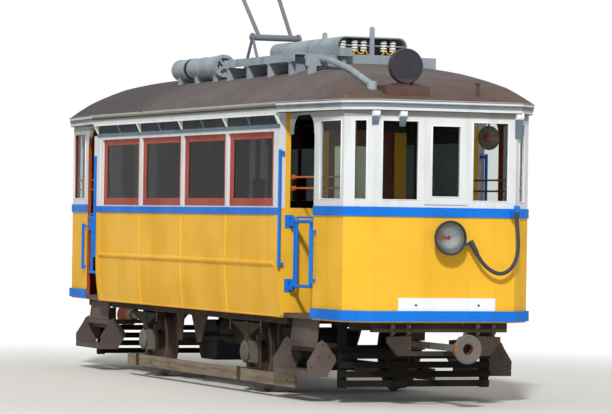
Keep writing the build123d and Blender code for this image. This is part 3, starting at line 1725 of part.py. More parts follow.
with BuildPart() as cab_lamp:
    dish_x, dish_y, dish_z = cab_lamp_centre
    with BuildSketch(Plane.XZ.offset(-dish_y)):
        with BuildLine():
            ThreePointArc((dish_x - 60, dish_z), (dish_x - 42, dish_z + 78), (dish_x, dish_z + cab_lamp_radius))
            Line((dish_x, dish_z + cab_lamp_radius), (dish_x, dish_z + cab_lamp_radius - 7))
            ThreePointArc(
                (dish_x, dish_z + cab_lamp_radius - 7),
                (dish_x - 36, dish_z + 72),
                (dish_x - 52, dish_z),
            )
            Line((dish_x - 52, dish_z), (dish_x - 60, dish_z))
        make_face()
    revolve(axis=Axis((0, dish_y, dish_z), (1, 0, 0)))
    rod((dish_x - 54, dish_y, dish_z), (dish_x - 20, dish_y, dish_z), 12)
    with Locations((dish_x - 14, dish_y, dish_z)):
        Sphere(18)
    rod(
        (dish_x - 20, dish_y, dish_z + cab_lamp_radius - 16),
        (front_x - vestibule_wall, dish_y, cab_lamp_hook),
        11,
    )
    add(pieces["vestibule_frame_front"].part, mode=Mode.SUBTRACT)
pieces["cab_lamp"] = cab_lamp

for name, block in pieces.items():
    block.part.label = name
    export_step(block.part, f"parts/{name}.step")
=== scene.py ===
# %% [markdown]
# # A small electric tram, dressed over its CAD frame
# The solids of the car, its wheels, gates, doors and roof gear are loaded first. They never
# move: every finish and every added piece is made in metres in the same frame, so a bead or a
# bolt goes exactly where the drawing says. X runs along the car, Y across it and Z up.

# %% Load the frame
from math import cos, pi, sin

import bmesh
import bpy
from mathutils import Matrix, Vector
from mathutils.bvhtree import BVHTree


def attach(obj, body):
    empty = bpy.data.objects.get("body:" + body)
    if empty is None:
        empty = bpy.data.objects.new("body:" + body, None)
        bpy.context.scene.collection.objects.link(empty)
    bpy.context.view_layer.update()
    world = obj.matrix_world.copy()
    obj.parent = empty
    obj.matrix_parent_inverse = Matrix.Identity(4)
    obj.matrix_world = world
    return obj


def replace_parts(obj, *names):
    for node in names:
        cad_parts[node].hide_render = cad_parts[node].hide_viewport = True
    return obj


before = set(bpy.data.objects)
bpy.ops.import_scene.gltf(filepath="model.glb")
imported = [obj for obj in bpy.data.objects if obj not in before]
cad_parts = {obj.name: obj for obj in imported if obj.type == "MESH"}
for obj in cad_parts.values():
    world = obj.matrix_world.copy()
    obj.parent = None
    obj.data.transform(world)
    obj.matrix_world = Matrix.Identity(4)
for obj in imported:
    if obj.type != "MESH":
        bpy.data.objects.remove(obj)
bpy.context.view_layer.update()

scene = bpy.context.scene
print("nodes in the frame:", len(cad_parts))

# %% [markdown]
# ## The camera
# A long lens far from the car keeps its lines almost parallel, which is what gives the side and
# the front nearly the same scale. The rotation is written as three axes of the camera: to the
# right, up, and back towards the viewer. A small tilt would show at once on the belt, so the
# roll of the hand-held picture is kept too.

# %% Place the camera
camera_place = Vector((32.5, -12.882, 1.785))
camera_yaw, camera_pitch, camera_roll = 0.386, 0.003, 0.015
level_reach = cos(camera_pitch)
ahead = Vector((-cos(camera_yaw) * level_reach, sin(camera_yaw) * level_reach, sin(camera_pitch)))
level_right = ahead.cross(Vector((0, 0, 1))).normalized()
level_up = level_right.cross(ahead)
right = level_right * cos(camera_roll) + level_up * sin(camera_roll)
up = level_up * cos(camera_roll) - level_right * sin(camera_roll)

lens = bpy.data.cameras.new("long_lens")
lens.sensor_width = 36.0
lens.lens = 192.08
lens.clip_end = 400.0
camera = bpy.data.objects.new("camera", lens)
camera.matrix_world = Matrix.Translation(camera_place) @ Matrix((right, up, -ahead)).transposed().to_4x4()
scene.collection.objects.link(camera)
scene.camera = camera
print("camera to car:", round(camera_place.length, 2), "m")

# %% [markdown]
# ## The jumper cable
# A rubber cable of 37 mm hangs in front of the dash, from a socket under the belt's corner to a
# plug beside the headlamp. It is held only at its two ends, so it sags in one deep, slightly
# uneven loop. The route's points are the control points of one smooth spline.

# %% The cable's route
cable_plane = 4.4
cable_route = (
    (0.7095, 1.861), (0.709, 1.770), (0.724, 1.660), (0.731, 1.530), (0.716, 1.422), (0.677, 1.343),
    (0.625, 1.293), (0.560, 1.267), (0.488, 1.277), (0.403, 1.324), (0.329, 1.400), (0.267, 1.509),
)
cable_radius = 0.0185
cable_curve = bpy.data.curves.new("jumper_hose", "CURVE")
cable_curve.dimensions = "3D"
cable_line = cable_curve.splines.new("NURBS")
cable_line.points.add(len(cable_route) - 1)
for point, (y, z) in zip(cable_line.points, cable_route):
    point.co = (cable_plane, y, z, 1.0)
cable_line.order_u = 3
cable_line.use_endpoint_u = True
cable_line.resolution_u = 10
cable_curve.bevel_depth = cable_radius
cable_curve.bevel_resolution = 5
cable_curve.use_fill_caps = True
jumper_hose = bpy.data.objects.new("jumper_hose", cable_curve)
scene.collection.objects.link(jumper_hose)
print("points on the cable's route:", len(cable_route))

# %% [markdown]
# ## Colours and nodes
# Colours are written as the hex values of a paint chart and turned to linear light by one
# function. Another adds a shader node or a geometry node with its settings and links, which keeps
# each recipe below readable, and a third starts a material with what is the same all over it.

# %% Three helpers for every tree


def linear(colour):
    """A hex colour as linear red, green, blue and an alpha of one."""
    channels = [int(colour[i : i + 2], 16) / 255 for i in (1, 3, 5)]
    return (*[c / 12.92 if c <= 0.04045 else ((c + 0.055) / 1.055) ** 2.4 for c in channels], 1.0)


def add(tree, kind, inputs=None, **settings):
    """Adds a node; inputs gives its sockets values or links from other sockets."""
    made = tree.nodes.new(kind)
    for name, value in settings.items():
        setattr(made, name, value)
    for key, value in (inputs or {}).items():
        if isinstance(value, bpy.types.NodeSocket):
            tree.links.new(value, made.inputs[key])
        else:
            made.inputs[key].default_value = value
    return made


def new_material(name, settings):
    """A material whose shader has these settings; returns it with its tree and its shader."""
    material = bpy.data.materials.new(name)
    material.use_nodes = True
    shader = material.node_tree.nodes["Principled BSDF"]
    for label, value in settings.items():
        shader.inputs[label].default_value = value
    return material, material.node_tree, shader


print("middle grey in linear light:", round(linear("#808080")[0], 3))

# %% [markdown]
# ## Patches, coats and zones
# Wear comes in patches, and a noise texture with a soft threshold makes them: the cells per metre
# come from the size of a real patch, and a stretch draws them out into runs or grain. Coats are
# then laid over each other, each by the share that shows. A zone is a share that depends on the
# place on the car, read from the Object coordinates, so it stays put whatever the view.

# %% Recipes that the finishes share


def patches(tree, per_metre, low, high, most=1.0, detail=4.0, stretch=(1, 1, 1)):
    """The share of a patchy coat: cells per metre, the noise it fades in between, and its most."""
    place = add(tree, "ShaderNodeTexCoord").outputs["Object"]
    mapped = add(tree, "ShaderNodeMapping", {"Vector": place, "Scale": stretch}).outputs[0]
    size = {"Vector": mapped, "Scale": per_metre, "Detail": detail}
    cloud = add(tree, "ShaderNodeTexNoise", size).outputs["Fac"]
    edges = {"Value": cloud, "From Min": low, "From Max": high, "To Max": most}
    return add(tree, "ShaderNodeMapRange", edges, interpolation_type="SMOOTHSTEP").outputs["Result"]


def coats(tree, first, *later):
    """Hex colours or sockets laid over each other, each later one by its share."""
    colour = linear(first) if isinstance(first, str) else first
    for share, coat in later:
        coat = linear(coat) if isinstance(coat, str) else coat
        colour = add(tree, "ShaderNodeMix", {0: share, 6: colour, 7: coat}, data_type="RGBA").outputs[2]
    return colour


saloon_end = 2.86


def zone(tree, *tests):
    """A share that is the product of tests: a source, and the two values between which it rises.

    The source "out" is below zero where a face looks inwards, to the middle line of the saloon.
    """
    place = add(tree, "ShaderNodeTexCoord").outputs["Object"]
    normal = add(tree, "ShaderNodeNewGeometry").outputs["Normal"]
    away = place
    for operation, other in (("MAXIMUM", (-saloon_end, 0, 0)), ("MINIMUM", (saloon_end, 0, 0))):
        away = add(tree, "ShaderNodeVectorMath", {0: away, 1: other}, operation=operation).outputs[0]
    away = add(tree, "ShaderNodeVectorMath", {0: place, 1: away}, operation="SUBTRACT").outputs[0]
    level = add(tree, "ShaderNodeVectorMath", {0: away, 1: (1, 1, 0)}, operation="MULTIPLY").outputs[0]
    outward = add(tree, "ShaderNodeVectorMath", {0: level, 1: normal}, operation="DOT_PRODUCT")
    sources = {"out": outward.outputs["Value"]}
    for label, vector in (("", place), ("n", normal)):
        parts = add(tree, "ShaderNodeSeparateXYZ", {0: vector}).outputs
        for axis, part in zip("xyz", parts):
            size = add(tree, "ShaderNodeMath", {0: part}, operation="ABSOLUTE").outputs[0]
            sources[label + axis], sources["abs " + label + axis] = part, size
    share = 1.0
    for source, low, high in tests:
        edges = {"Value": sources[source], "From Min": low, "From Max": high}
        step = add(tree, "ShaderNodeMapRange", edges, interpolation_type="SMOOTHSTEP").outputs["Result"]
        share = add(tree, "ShaderNodeMath", {0: share, 1: step}, operation="MULTIPLY").outputs[0]
    return share


print("the saloon reaches", saloon_end, "m each way")

# %% [markdown]
# ## Paint that has stood outdoors
# Enamel on steel or wood fades in broad clouds, runs with dirt below every ledge, and chips at
# random down to the primer. One recipe lays these three over each other. The chips also feed the
# bump, since they have an edge about as deep as the paint is thick. A car has many two-coloured
# pieces, so a finish may have zones, each with its own three colours.

# %% Weathered enamel
# Cells per metre: a faded cloud is about 600 mm wide, a run of dirt 140 mm and a chip 90 mm at
# most. Real grit is too fine to show, so it is drawn 6 mm wide, and 2 mm on cloth and rubber.
cloud_cells, run_cells, chip_cells = 1.7, 7.0, 11.0
paint_grit, fine_grit = 180, 420
run_stretch, chip_edge = (1, 1, 0.09), 0.02
paint_gloss, metal_gloss = 0.05, 0.5


def weathered(name, colours, chip, roughness, metallic, fade, run, chipping, grit=paint_grit, zones=()):
    """Paint or bare metal with fading, runs of dirt and chips; zones are (colours, tests)."""
    gloss = metal_gloss if metallic else paint_gloss
    material, tree, shader = new_material(name, {"Metallic": metallic, "Specular IOR Level": gloss})
    broad = patches(tree, cloud_cells, low=0.35, high=0.7, most=fade, detail=5.0)
    runs = patches(tree, run_cells, low=0.5, high=0.8, most=run, stretch=run_stretch)
    fine = patches(tree, grit, low=0.2, high=0.8, detail=2.0)
    chipped = patches(tree, chip_cells, low=chipping, high=chipping + chip_edge, detail=9.0)
    paint = None
    for three, tests in [(colours, None), *zones]:
        fresh, faded, dirty = three.split()
        layer = coats(tree, fresh, (broad, faded), (runs, dirty))
        paint = coats(tree, paint, (zone(tree, *tests), layer)) if tests else layer
    tree.links.new(coats(tree, paint, (chipped, chip)), shader.inputs["Base Color"])
    edges = {"Value": broad, "From Max": fade, "To Min": roughness - 0.06, "To Max": roughness + 0.1}
    tree.links.new(add(tree, "ShaderNodeMapRange", edges).outputs[0], shader.inputs["Roughness"])
    height = add(tree, "ShaderNodeMath", {0: fine, 1: chipped}, operation="SUBTRACT").outputs[0]
    bump = add(tree, "ShaderNodeBump", {"Height": height, "Strength": 0.2, "Distance": 0.002})
    tree.links.new(bump.outputs[0], shader.inputs["Normal"])
    return material


print("clouds, runs and chips in mm:", [round(1000 / n) for n in (cloud_cells, run_cells, chip_cells)])

# %% [markdown]
# The finishes are one table. Three colours stand for the fresh, the faded and the dirty coat. The
# chip's colour is what shows below, and chips are fewer as the last number rises. Paint keeps a
# low gloss, because years of weather have taken most of it.

# %% The table of finishes
yellow_coats = "#F3BC3C #E5AC2E #BE8A2C"
white_coats = "#DEE0E1 #D0D4D6 #A6A49B"
# A dark grey of painted shade, for the places where the hoods and the cornice cast shade.
painted_shade_coats = "#44484A #3A3D3E #2E302F"
paints = {
    # key: (material, colours, chip, roughness, metallic, fade, run, chipping, grit)
    # Yellow enamel on sheet steel, brushed on: clouded, with brown runs and a few rusty chips.
    "yellow": ("yellow_enamel", yellow_coats, "#8A4A22", 0.42, 0.0, 0.7, 0.3, 0.77),
    # The same yellow on beads and small heads, which have no wooden back.
    "trim": ("yellow_trim_enamel", yellow_coats, "#8A4A22", 0.42, 0.0, 0.7, 0.3, 0.77),
    # The end walls of the saloon: yellow towards the platform.
    "bulkhead": ("bulkhead_enamel", yellow_coats, "#8A4A22", 0.45, 0.0, 0.7, 0.3, 0.78),
    # Blue enamel, the newest coat on the car, so it is glossier and hardly faded.
    "blue": ("blue_enamel", "#1E79DC #1B69C8 #2A5288", "#8A3C22", 0.4, 0.0, 0.6, 0.25, 0.765),
    # White enamel on wood: flat, grey in the joints, with hairline dirt.
    "white": ("white_enamel", white_coats, "#8E8273", 0.5, 0.0, 0.6, 0.35, 0.765),
    # The number plate and the small trim were painted last, so they are the whitest.
    "bright": ("fresh_white_enamel", "#F1F2F2 #E6E8E9 #C4C2BA", "#8E8273", 0.5, 0.0, 0.5, 0.35, 0.77),
    # Blue-grey: painted shade on the corbels' feet and the narrow hood stays, and the paint
    # of the boards below the hoods.
    "primer": ("blue_grey_paint_and_shade", "#6E7F8B #616F79 #4B5358", "#8A8E90", 0.6, 0.0, 0.8, 0.35, 0.7),
    # The back of the hoods stands in their shade, and its dark grey is painted shade.
    "recess": ("hood_recess_painted_shade", painted_shade_coats, "#6A6258", 0.7, 0.0, 0.8, 0.35, 0.75),
    # Window posts: the same white enamel, over the whole height of the windows.
    "posts": ("window_post_enamel", white_coats, "#8E8273", 0.5, 0.0, 0.6, 0.35, 0.765),
    # Cornice: white enamel on a carved moulding, rougher than the walls and chipped to the wood.
    "cornice": ("cornice_enamel", white_coats, "#8A5A3C", 0.55, 0.0, 0.7, 0.35, 0.74),
    # Red-brown stain on pine sashes, worn pale at the chips.
    "stain": ("stained_pine", "#A9584B #994B40 #7A3E35", "#C7A090", 0.55, 0.0, 0.7, 0.35, 0.78),
    # Grey paint on the iron gear of the roof, bleached on top and rusting at the seams.
    "roof_iron": ("roof_gear_paint", "#A4AFB7 #8D979D #6C6A66", "#9A5A34", 0.55, 0.0, 0.8, 0.5, 0.7),
    # Canvas on boards, painted over and over, so its weave is nearly filled.
    "canvas": ("painted_canvas", "#68605F #746D6A #574C49", "#8A6A58", 0.8, 0.0, 0.9, 0.6, 0.7, fine_grit),
    # Rolled steel under the floor: black paint under brake dust and road dirt.
    "frame_steel": ("dusty_frame_steel", "#3B3530 #52483E #2C2825", "#6E452E", 0.78, 0.0, 0.9, 0.5, 0.7),
    # The lifeguards run just over the rails, in the deep shadow under the bumper, so they are
    # near black as painted shade.
    "soot": ("shade_black_steel", "#1E1D1B #292724 #171614", "#4A3A2E", 0.85, 0.0, 0.8, 0.4, 0.74),
    # Step plates: the same steel, paler where shoes and rain have worn it.
    "step_steel": ("worn_step_steel", "#665B56 #534A45 #7C6E60", "#8C5A38", 0.72, 0.0, 0.9, 0.4, 0.68),
    # Rust on ties, straps and bolts that lost their paint long ago.
    "rust": ("rusted_iron", "#57443A #645044 #433630", "#7A5840", 0.85, 0.0, 0.9, 0.5, 0.64),
    # Cast iron of the axle boxes, paler than the frame because hands and oil keep it clean.
    "box_iron": ("oily_cast_iron", "#6F6B62 #5C5850 #454139", "#8A6A50", 0.6, 0.0, 0.8, 0.5, 0.72),
    # Tubes of the collector: bare steel gone blue-grey.
    "bow_steel": ("weathered_tube_steel", "#7C828A #6A7077 #565452", "#8A5A3C", 0.5, 0.0, 0.7, 0.4, 0.74),
    # Cast iron of the couplers: bare and grey, half under a film of rust.
    "coupler_iron": ("bare_cast_iron", "#79756F #625D57 #6A4A38", "#8F5730", 0.6, 0.25, 0.9, 0.5, 0.64),
    # Wheel steel: brown rust film on the web and rim.
    "wheel_steel": ("rusted_wheel_steel", "#5B4C42 #4A3F38 #6F5340", "#8A5A3A", 0.7, 0.2, 0.9, 0.5, 0.64),
    # Dark paint of lamps and motors.
    "dark": ("dark_machine_paint", "#44444A #38383E #5A5650", "#7C4A30", 0.5, 0.0, 0.7, 0.3, 0.72),
    # Black enamel of the signal disc.
    "signals": ("signal_enamel", "#3C3C43 #34343A #524E48", "#8C5A38", 0.5, 0.0, 0.7, 0.3, 0.7),
    # Pale grey-green enamel of the switch cabinet.
    "cabinet": ("cabinet_enamel", "#D8DCC8 #C8CEBA #A6A694", "#6B6558", 0.42, 0.0, 0.5, 0.35, 0.78),
    # Black rubber of the cable and its boots, gone grey with dust.
    "rubber": ("dusty_rubber", "#4A4A55 #3E3E48 #63605C", "#2E2E34", 0.7, 0.0, 0.8, 0.35, 0.8, fine_grit),
    # Dull copper tube of the window rails and poles.
    "copper": ("dull_copper", "#D8743A #C0602C #8A4A28", "#E09A68", 0.38, 0.3, 0.7, 0.3, 0.74),
    # Glazed porcelain of the insulators.
    "porcelain": ("white_porcelain", "#EDEBE4 #DEDBD2 #B8B2A6", "#8C8478", 0.16, 0.0, 0.5, 0.35, 0.8),
    # Polished tin of the lamp bowls.
    "reflector": ("tinned_reflector", "#B4B6B6 #9C9FA1 #7E7E7A", "#8E8C86", 0.24, 0.8, 0.5, 0.2, 0.8),
    # Bowl of the cab lamp: its tin has gone brown.
    "old_tin": ("tarnished_tin", "#9A8A7C #7C6C60 #5A4C42", "#B0A294", 0.42, 0.4, 0.8, 0.4, 0.72),
    # Red lacquer on the cab lamp's bulb.
    "red_bulb": ("red_lamp_lacquer", "#E2522A #C8431F #8A3018", "#F0A070", 0.3, 0.0, 0.5, 0.35, 0.8),
}
print("rows in the table:", len(paints))

# %% [markdown]
# ## Where a finish changes
# Some solids carry more than one coat: a wall is yellow outside and varnished wood inside, and
# the cornice has a stripe for each of its mouldings. Some zones are painted shade instead, where
# shade falls on the real car, and one is a painted highlight. Each such finish lists its zones
# here, by colours and by tests whose shares are multiplied. The two numbers of a test are the
# values between which it rises, and a falling test has the higher one first.

# %% The zones of each finish
wood_coats = "#A8501F #8C4019 #5E3018"
lip_coats = "#7A7870 #87857A #5F5B52"
inner_side = [("out", -0.72, -0.78)]
jambs = [("abs x", 3.42, 3.44), ("abs x", 3.47, 3.455), ("abs nx", 0.8, 0.95)]
side_lip = [("abs x", saloon_end, 2.82), ("abs y", 1.05, 1.1)]
paint_zones = {
    # The inside of every yellow wall is varnished wood, and so are the door jambs.
    "yellow": [(wood_coats, inner_side), (wood_coats, jambs)],
    # Painted shade above the doors, a near black, and wood on the saloon's side.
    "bulkhead": [
        ("#303132 #2A2B2B #222322", [("z", 2.62, 2.64), ("abs y", 0.99, 0.98)]),
        (wood_coats, [("abs x", 2.792, 2.788)]),
    ],
    # Painted shade, a grey, under the eaves, and wood inside.
    "white": [
        ("#A9A8A4 #989690 #7C7870", [("z", 2.735, 2.745)]),
        (wood_coats, inner_side), (wood_coats, jambs),
    ],
    # Painted shade where the hoods shade the posts, and wood inside.
    "posts": [(painted_shade_coats, [("z", 2.688, 2.692), ("abs nx", 0.5, 0.4)]), (wood_coats, inner_side)],
    # A grey moulding in painted shade, a brown lip, and a dark gap of painted shadow at the foot.
    # Along the saloon all but the foot is bare grey wood, with a dark line of painted shade and a
    # pale upper edge that is a painted highlight.
    "cornice": [
        ("#747E84 #8B9294 #55595A", [("z", 2.83, 2.832), ("z", 2.873, 2.871)]),
        ("#8A7468 #9A8A7C #6B5F58", [("z", 2.887, 2.889)]),
        (painted_shade_coats, [("z", 2.804, 2.802), ("abs x", 2.82, saloon_end)]),
        (lip_coats, [("z", 2.833, 2.836), *side_lip]),
        ("#4C4A43 #57544C #3C3A34", [("z", 2.847, 2.85), ("z", 2.866, 2.863), *side_lip]),
        ("#B9B6A8 #A19E91 #857F70", [("z", 2.882, 2.886), *side_lip]),
    ],
    # A dark band of painted shade at the neck between the two parts of the control drum.
    "roof_iron": [("#26272A #2E2F31 #222222", [("x", -1.206, -1.202), ("x", -1.104, -1.109)])],
    # Browner with rust at the front, greyer at the rear, and painted shade, a dark brown, on the ceiling
    # below.
    "canvas": [
        ("#64544D #72615A #4E423D", [("x", 3.4, 4.25)]),
        ("#54504F #5C5857 #484442", [("x", -0.6, -1.8)]),
        ("#4A382C #3E2E24 #32261E", [("nz", 0.0, -0.05)]),
    ],
    # Rust inside the coupler's socket.
    "coupler_iron": [
        ("#8A4E2A #74401F #4E3222", [("abs x", 4.876, 4.872), ("abs x", 4.68, 4.7), ("out", 0.0, -0.02)]),
    ],
    # Brown paint on the signal's box.
    "signals": [("#5E4A42 #6E564C #46342C", [("z", 3.12, 3.07)])],
}
finishes = {key: weathered(*row, zones=paint_zones.get(key, ())) for key, row in paints.items()}
print("paint and metal finishes:", len(finishes), "with zones:", len(paint_zones))

# %% [markdown]
# ## Wood
# Grain is a noise pulled long in one direction. The side guard is a weathered plank that runs
# along the car, and the doors and benches are varnished, so they share a recipe with other
# colours and a glossier coat.

# %% Planks and varnish
# Cells per metre: bands of grain are 25 mm wide and stains 450 mm. Pores are drawn 4 mm wide,
# since real ones are too fine to show.
band_cells, stain_cells, pore_cells = 38.0, 2.2, 240.0
lengthwise, upright = (0.06, 1, 1), (1, 1, 0.06)


def wooden(name, light, dark, roughness, along=lengthwise, coat=0.0):
    """Wood with its grain along one axis, in bands and fine pores."""
    material, tree, shader = new_material(name, {"Roughness": roughness, "Coat Weight": coat})
    bands = patches(tree, band_cells, low=0.3, high=0.7, stretch=along)
    pores = patches(tree, pore_cells, low=0.3, high=0.7, most=0.4, detail=2.0, stretch=along)
    stains = patches(tree, stain_cells, low=0.45, high=0.8, most=0.5, detail=5.0)
    colour = coats(tree, light, (bands, dark), (stains, dark), (pores, dark))
    tree.links.new(colour, shader.inputs["Base Color"])
    bump = add(tree, "ShaderNodeBump", {"Height": bands, "Strength": 0.3, "Distance": 0.002})
    tree.links.new(bump.outputs[0], shader.inputs["Normal"])
    return material


finishes["plank"] = wooden("weathered_plank", "#8F8068", "#665A48", 0.85)
finishes["varnish"] = wooden("varnished_mahogany", "#9A4F26", "#6E3418", 0.35, upright, coat=0.4)
finishes["bench"] = wooden("varnished_beech", "#A8683A", "#84491F", 0.4, coat=0.4)
finishes["boards"] = wooden("worn_floor_boards", "#6B5848", "#4A3C32", 0.8)
print("kinds of wood:", len(finishes) - len(paints))

# %% [markdown]
# ## Glass
# Window glass is soda-lime float glass. Its IOR starts at 1.52 and is lowered for the panes and
# the lamps, because a white studio would fill them with its reflection. The saloon's panes are
# dusty, and their base colour is darker as painted shade, for the dim saloon behind them. The
# bulbs are amber glass.

# %% Panes and bulbs
# The dust's patches are about 330 mm wide and drawn out downwards.
dust_cells, dust_stretch, dust_colour = 3.0, (1, 1, 0.3), "#B9BCB8"


def glazing(name, clear, roughness, shade_tint=None, tests=(), ior=1.52):
    """Glass with a film of dust, and in a zone a darker colour that is painted shade."""
    settings = {"Transmission Weight": 1.0, "IOR": ior, "Roughness": roughness}
    material, tree, shader = new_material(name, settings)
    tint = [(zone(tree, *tests), shade_tint)] if shade_tint else []
    dust = patches(tree, dust_cells, low=0.45, high=0.8, most=0.25, detail=6.0, stretch=dust_stretch)
    tree.links.new(coats(tree, clear, *tint, (dust, dust_colour)), shader.inputs["Base Color"])
    return material


saloon_panes = [("abs x", saloon_end, 2.84)]
# The saloon's panes are darker as painted shade, for the dim saloon behind them.
finishes["pane"] = glazing("window_glass", "#CDD3D1", 0.02, "#6C7372", saloon_panes, ior=1.1)
finishes["lens"] = glazing("lamp_glass", "#F2F5F4", 0.04, ior=1.2)
finishes["bulb"] = glazing("amber_glass", "#F09A3C", 0.15)
print("all finishes:", len(finishes))

# %% [markdown]
# ## Dress the solids
# The CAD solids keep their meshes, and only their material is changed. A table says which finish
# each node takes, by the way it is made: the body is enamelled, the running gear is dusty iron.

# %% Give every node its finish
node_finishes = {
    "yellow": ["side_panel_near", "side_panel_far", "dash_front", "dash_rear"],
    "bulkhead": ["bulkhead_front", "bulkhead_rear"],
    "blue": [
        "belts", "bumpers", "handrails", "gate_hinges", "jumper_sockets",
        "gate_front_near", "gate_front_far", "gate_rear_near", "gate_rear_far",
    ],
    "white": ["vestibule_frame_front", "vestibule_frame_rear", "door_arches"],
    "bright": ["number_plate", "vent_hoods"],
    "posts": ["window_frames"],
    "cornice": ["cornice"],
    "stain": ["sashes"],
    "canvas": ["roof"],
    "roof_iron": ["roof_drum", "roof_conduit", "resistor_bank"],
    "bow_steel": ["collector_base", "collector_bow"],
    "box_iron": ["axle_boxes"],
    "signals": ["roof_signals"],
    "dark": ["headlamps", "cab_lamp", "driving_stands", "motors"],
    "rubber": ["jumper_cable", "jumper_plug"],
    "frame_steel": ["axle_guards", "brake_gear", "coupler_guides", "underframe", "leaf_springs"],
    "soot": ["lifeguards"],
    "step_steel": ["steps"],
    "coupler_iron": ["coupler_front", "coupler_rear"],
    "wheel_steel": ["wheelset_front", "wheelset_rear"],
    "plank": ["side_guards"],
    "varnish": ["saloon_door_front", "saloon_door_rear"],
    "bench": ["benches"],
    "boards": ["floor"],
    "copper": ["poles", "window_rails"],
    "cabinet": ["cabinet"],
    "pane": ["window_panes"],
}
for finish, names in node_finishes.items():
    for name in names:
        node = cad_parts[name]
        node.data.materials.clear()
        node.data.materials.append(finishes[finish])
bare = sorted(set(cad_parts) - {name for names in node_finishes.values() for name in names})
print("nodes without a finish:", bare)

# %% [markdown]
# ## Make a piece
# Every added piece is a mesh at the origin that rides on a body of the car, in one of the
# finishes above.


def keep(name, mesh, finish, body="car"):
    """Links a mesh as a piece that rides on a body, in its finish."""
    made = bpy.data.objects.new(name, mesh)
    scene.collection.objects.link(made)
    mesh.materials.clear()
    mesh.materials.append(finishes[finish])
    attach(made, body)
    return made


jumper_hose.data.materials.append(finishes["rubber"])
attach(jumper_hose, "car")
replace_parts(jumper_hose, "jumper_cable")

# %% [markdown]
# ## Three trees for what repeats
# Rivets, bolt heads and insulator sheds are one small head copied to many places: a Geometry
# Nodes tree puts a two-step cone on every vertex of a mesh, turned to an attribute that says
# which way it faces. Half-round beads and seams follow lines, so a second tree sweeps a circle
# along the mesh's edges. Slats and ribs are boxes in a row, which a third tree lays out.

# %% Build the trees


def new_tree(name, sizes):
    """An empty geometry tree with named inputs; returns it with the sockets of its input node."""
    tree = bpy.data.node_groups.new(name, "GeometryNodeTree")
    tree.interface.new_socket("Geometry", in_out="INPUT", socket_type="NodeSocketGeometry")
    for label, kind, value in sizes:
        made = tree.interface.new_socket(label, in_out="INPUT", socket_type=kind)
        made.default_value = value
    tree.interface.new_socket("Finish", in_out="INPUT", socket_type="NodeSocketMaterial")
    tree.interface.new_socket("Geometry", in_out="OUTPUT", socket_type="NodeSocketGeometry")
    return tree, add(tree, "NodeGroupInput").outputs


def close_tree(tree, geometry, finish):
    """Ends a tree: real mesh instead of copies, in its finish."""
    real = add(tree, "GeometryNodeRealizeInstances", {0: geometry}).outputs[0]
    coated = add(tree, "GeometryNodeSetMaterial", {"Geometry": real, "Material": finish}).outputs[0]
    add(tree, "NodeGroupOutput", {0: coated})


number, whole, vector = "NodeSocketFloat", "NodeSocketInt", "NodeSocketVector"
studs, sizes = new_tree("studs", [("Radius", number, 0.01), ("Height", number, 0.006), ("Sides", whole, 8)])
crown_height, skirt_height, shoulder, crown = [
    add(studs, "ShaderNodeMath", {0: sizes[label], 1: share}, operation="MULTIPLY").outputs[0]
    for label, share in (("Height", 0.4), ("Height", 0.6), ("Radius", 0.82), ("Radius", 0.45))
]
lower, upper = [
    add(studs, "GeometryNodeMeshCone", {
        "Vertices": sizes["Sides"], "Radius Top": top, "Radius Bottom": bottom, "Depth": depth,
    }).outputs["Mesh"]
    for top, bottom, depth in ((shoulder, sizes["Radius"], skirt_height), (crown, shoulder, crown_height))
]
lift = add(studs, "ShaderNodeCombineXYZ", {2: skirt_height}).outputs[0]
raised = add(studs, "GeometryNodeTransform", {"Geometry": upper, "Translation": lift}).outputs[0]
head = add(studs, "GeometryNodeJoinGeometry", {0: lower})
studs.links.new(raised, head.inputs[0])
facing = add(studs, "GeometryNodeInputNamedAttribute", {"Name": "facing"}, data_type="FLOAT_VECTOR")
way = facing.outputs["Attribute"]
turned = add(studs, "FunctionNodeAlignRotationToVector", {"Vector": way}, axis="Z").outputs[0]
placed = add(studs, "GeometryNodeInstanceOnPoints", {
    "Points": sizes["Geometry"], "Instance": head.outputs[0], "Rotation": turned,
}).outputs[0]
close_tree(studs, placed, sizes["Finish"])

beads, sizes = new_tree("beads", [("Radius", number, 0.008), ("Sides", whole, 8)])
lines = add(beads, "GeometryNodeMeshToCurve", {"Mesh": sizes["Geometry"]}).outputs[0]
outline = {"Resolution": sizes["Sides"], "Radius": sizes["Radius"]}
section = add(beads, "GeometryNodeCurvePrimitiveCircle", outline).outputs["Curve"]
sweep = {"Curve": lines, "Profile Curve": section, "Fill Caps": True}
swept = add(beads, "GeometryNodeCurveToMesh", sweep).outputs[0]
close_tree(beads, swept, sizes["Finish"])

slat_sizes = [("Size", vector, (1.0, 0.05, 0.01)), ("Step", vector, (0.0, 0.06, 0.0)), ("Count", whole, 5)]
slats, sizes = new_tree("slats", slat_sizes)
spacing = {"Count": sizes["Count"], "Offset": sizes["Step"]}
row = add(slats, "GeometryNodeMeshLine", spacing, mode="OFFSET").outputs[0]
slat = add(slats, "GeometryNodeMeshCube", {"Size": sizes["Size"]}).outputs["Mesh"]
laid = add(slats, "GeometryNodeInstanceOnPoints", {"Points": row, "Instance": slat}).outputs[0]
rows = add(slats, "GeometryNodeInstanceOnPoints", {"Points": sizes["Geometry"], "Instance": laid}).outputs[0]
close_tree(slats, rows, sizes["Finish"])
print("geometry trees:", [tree.name for tree in (studs, beads, slats)])

# %% [markdown]
# A tree is run on a seed, a mesh of bare points or edges. Its result is read from the evaluated
# object as a plain mesh, and the seed and its modifier are removed before the piece is kept.

# %% Run a tree


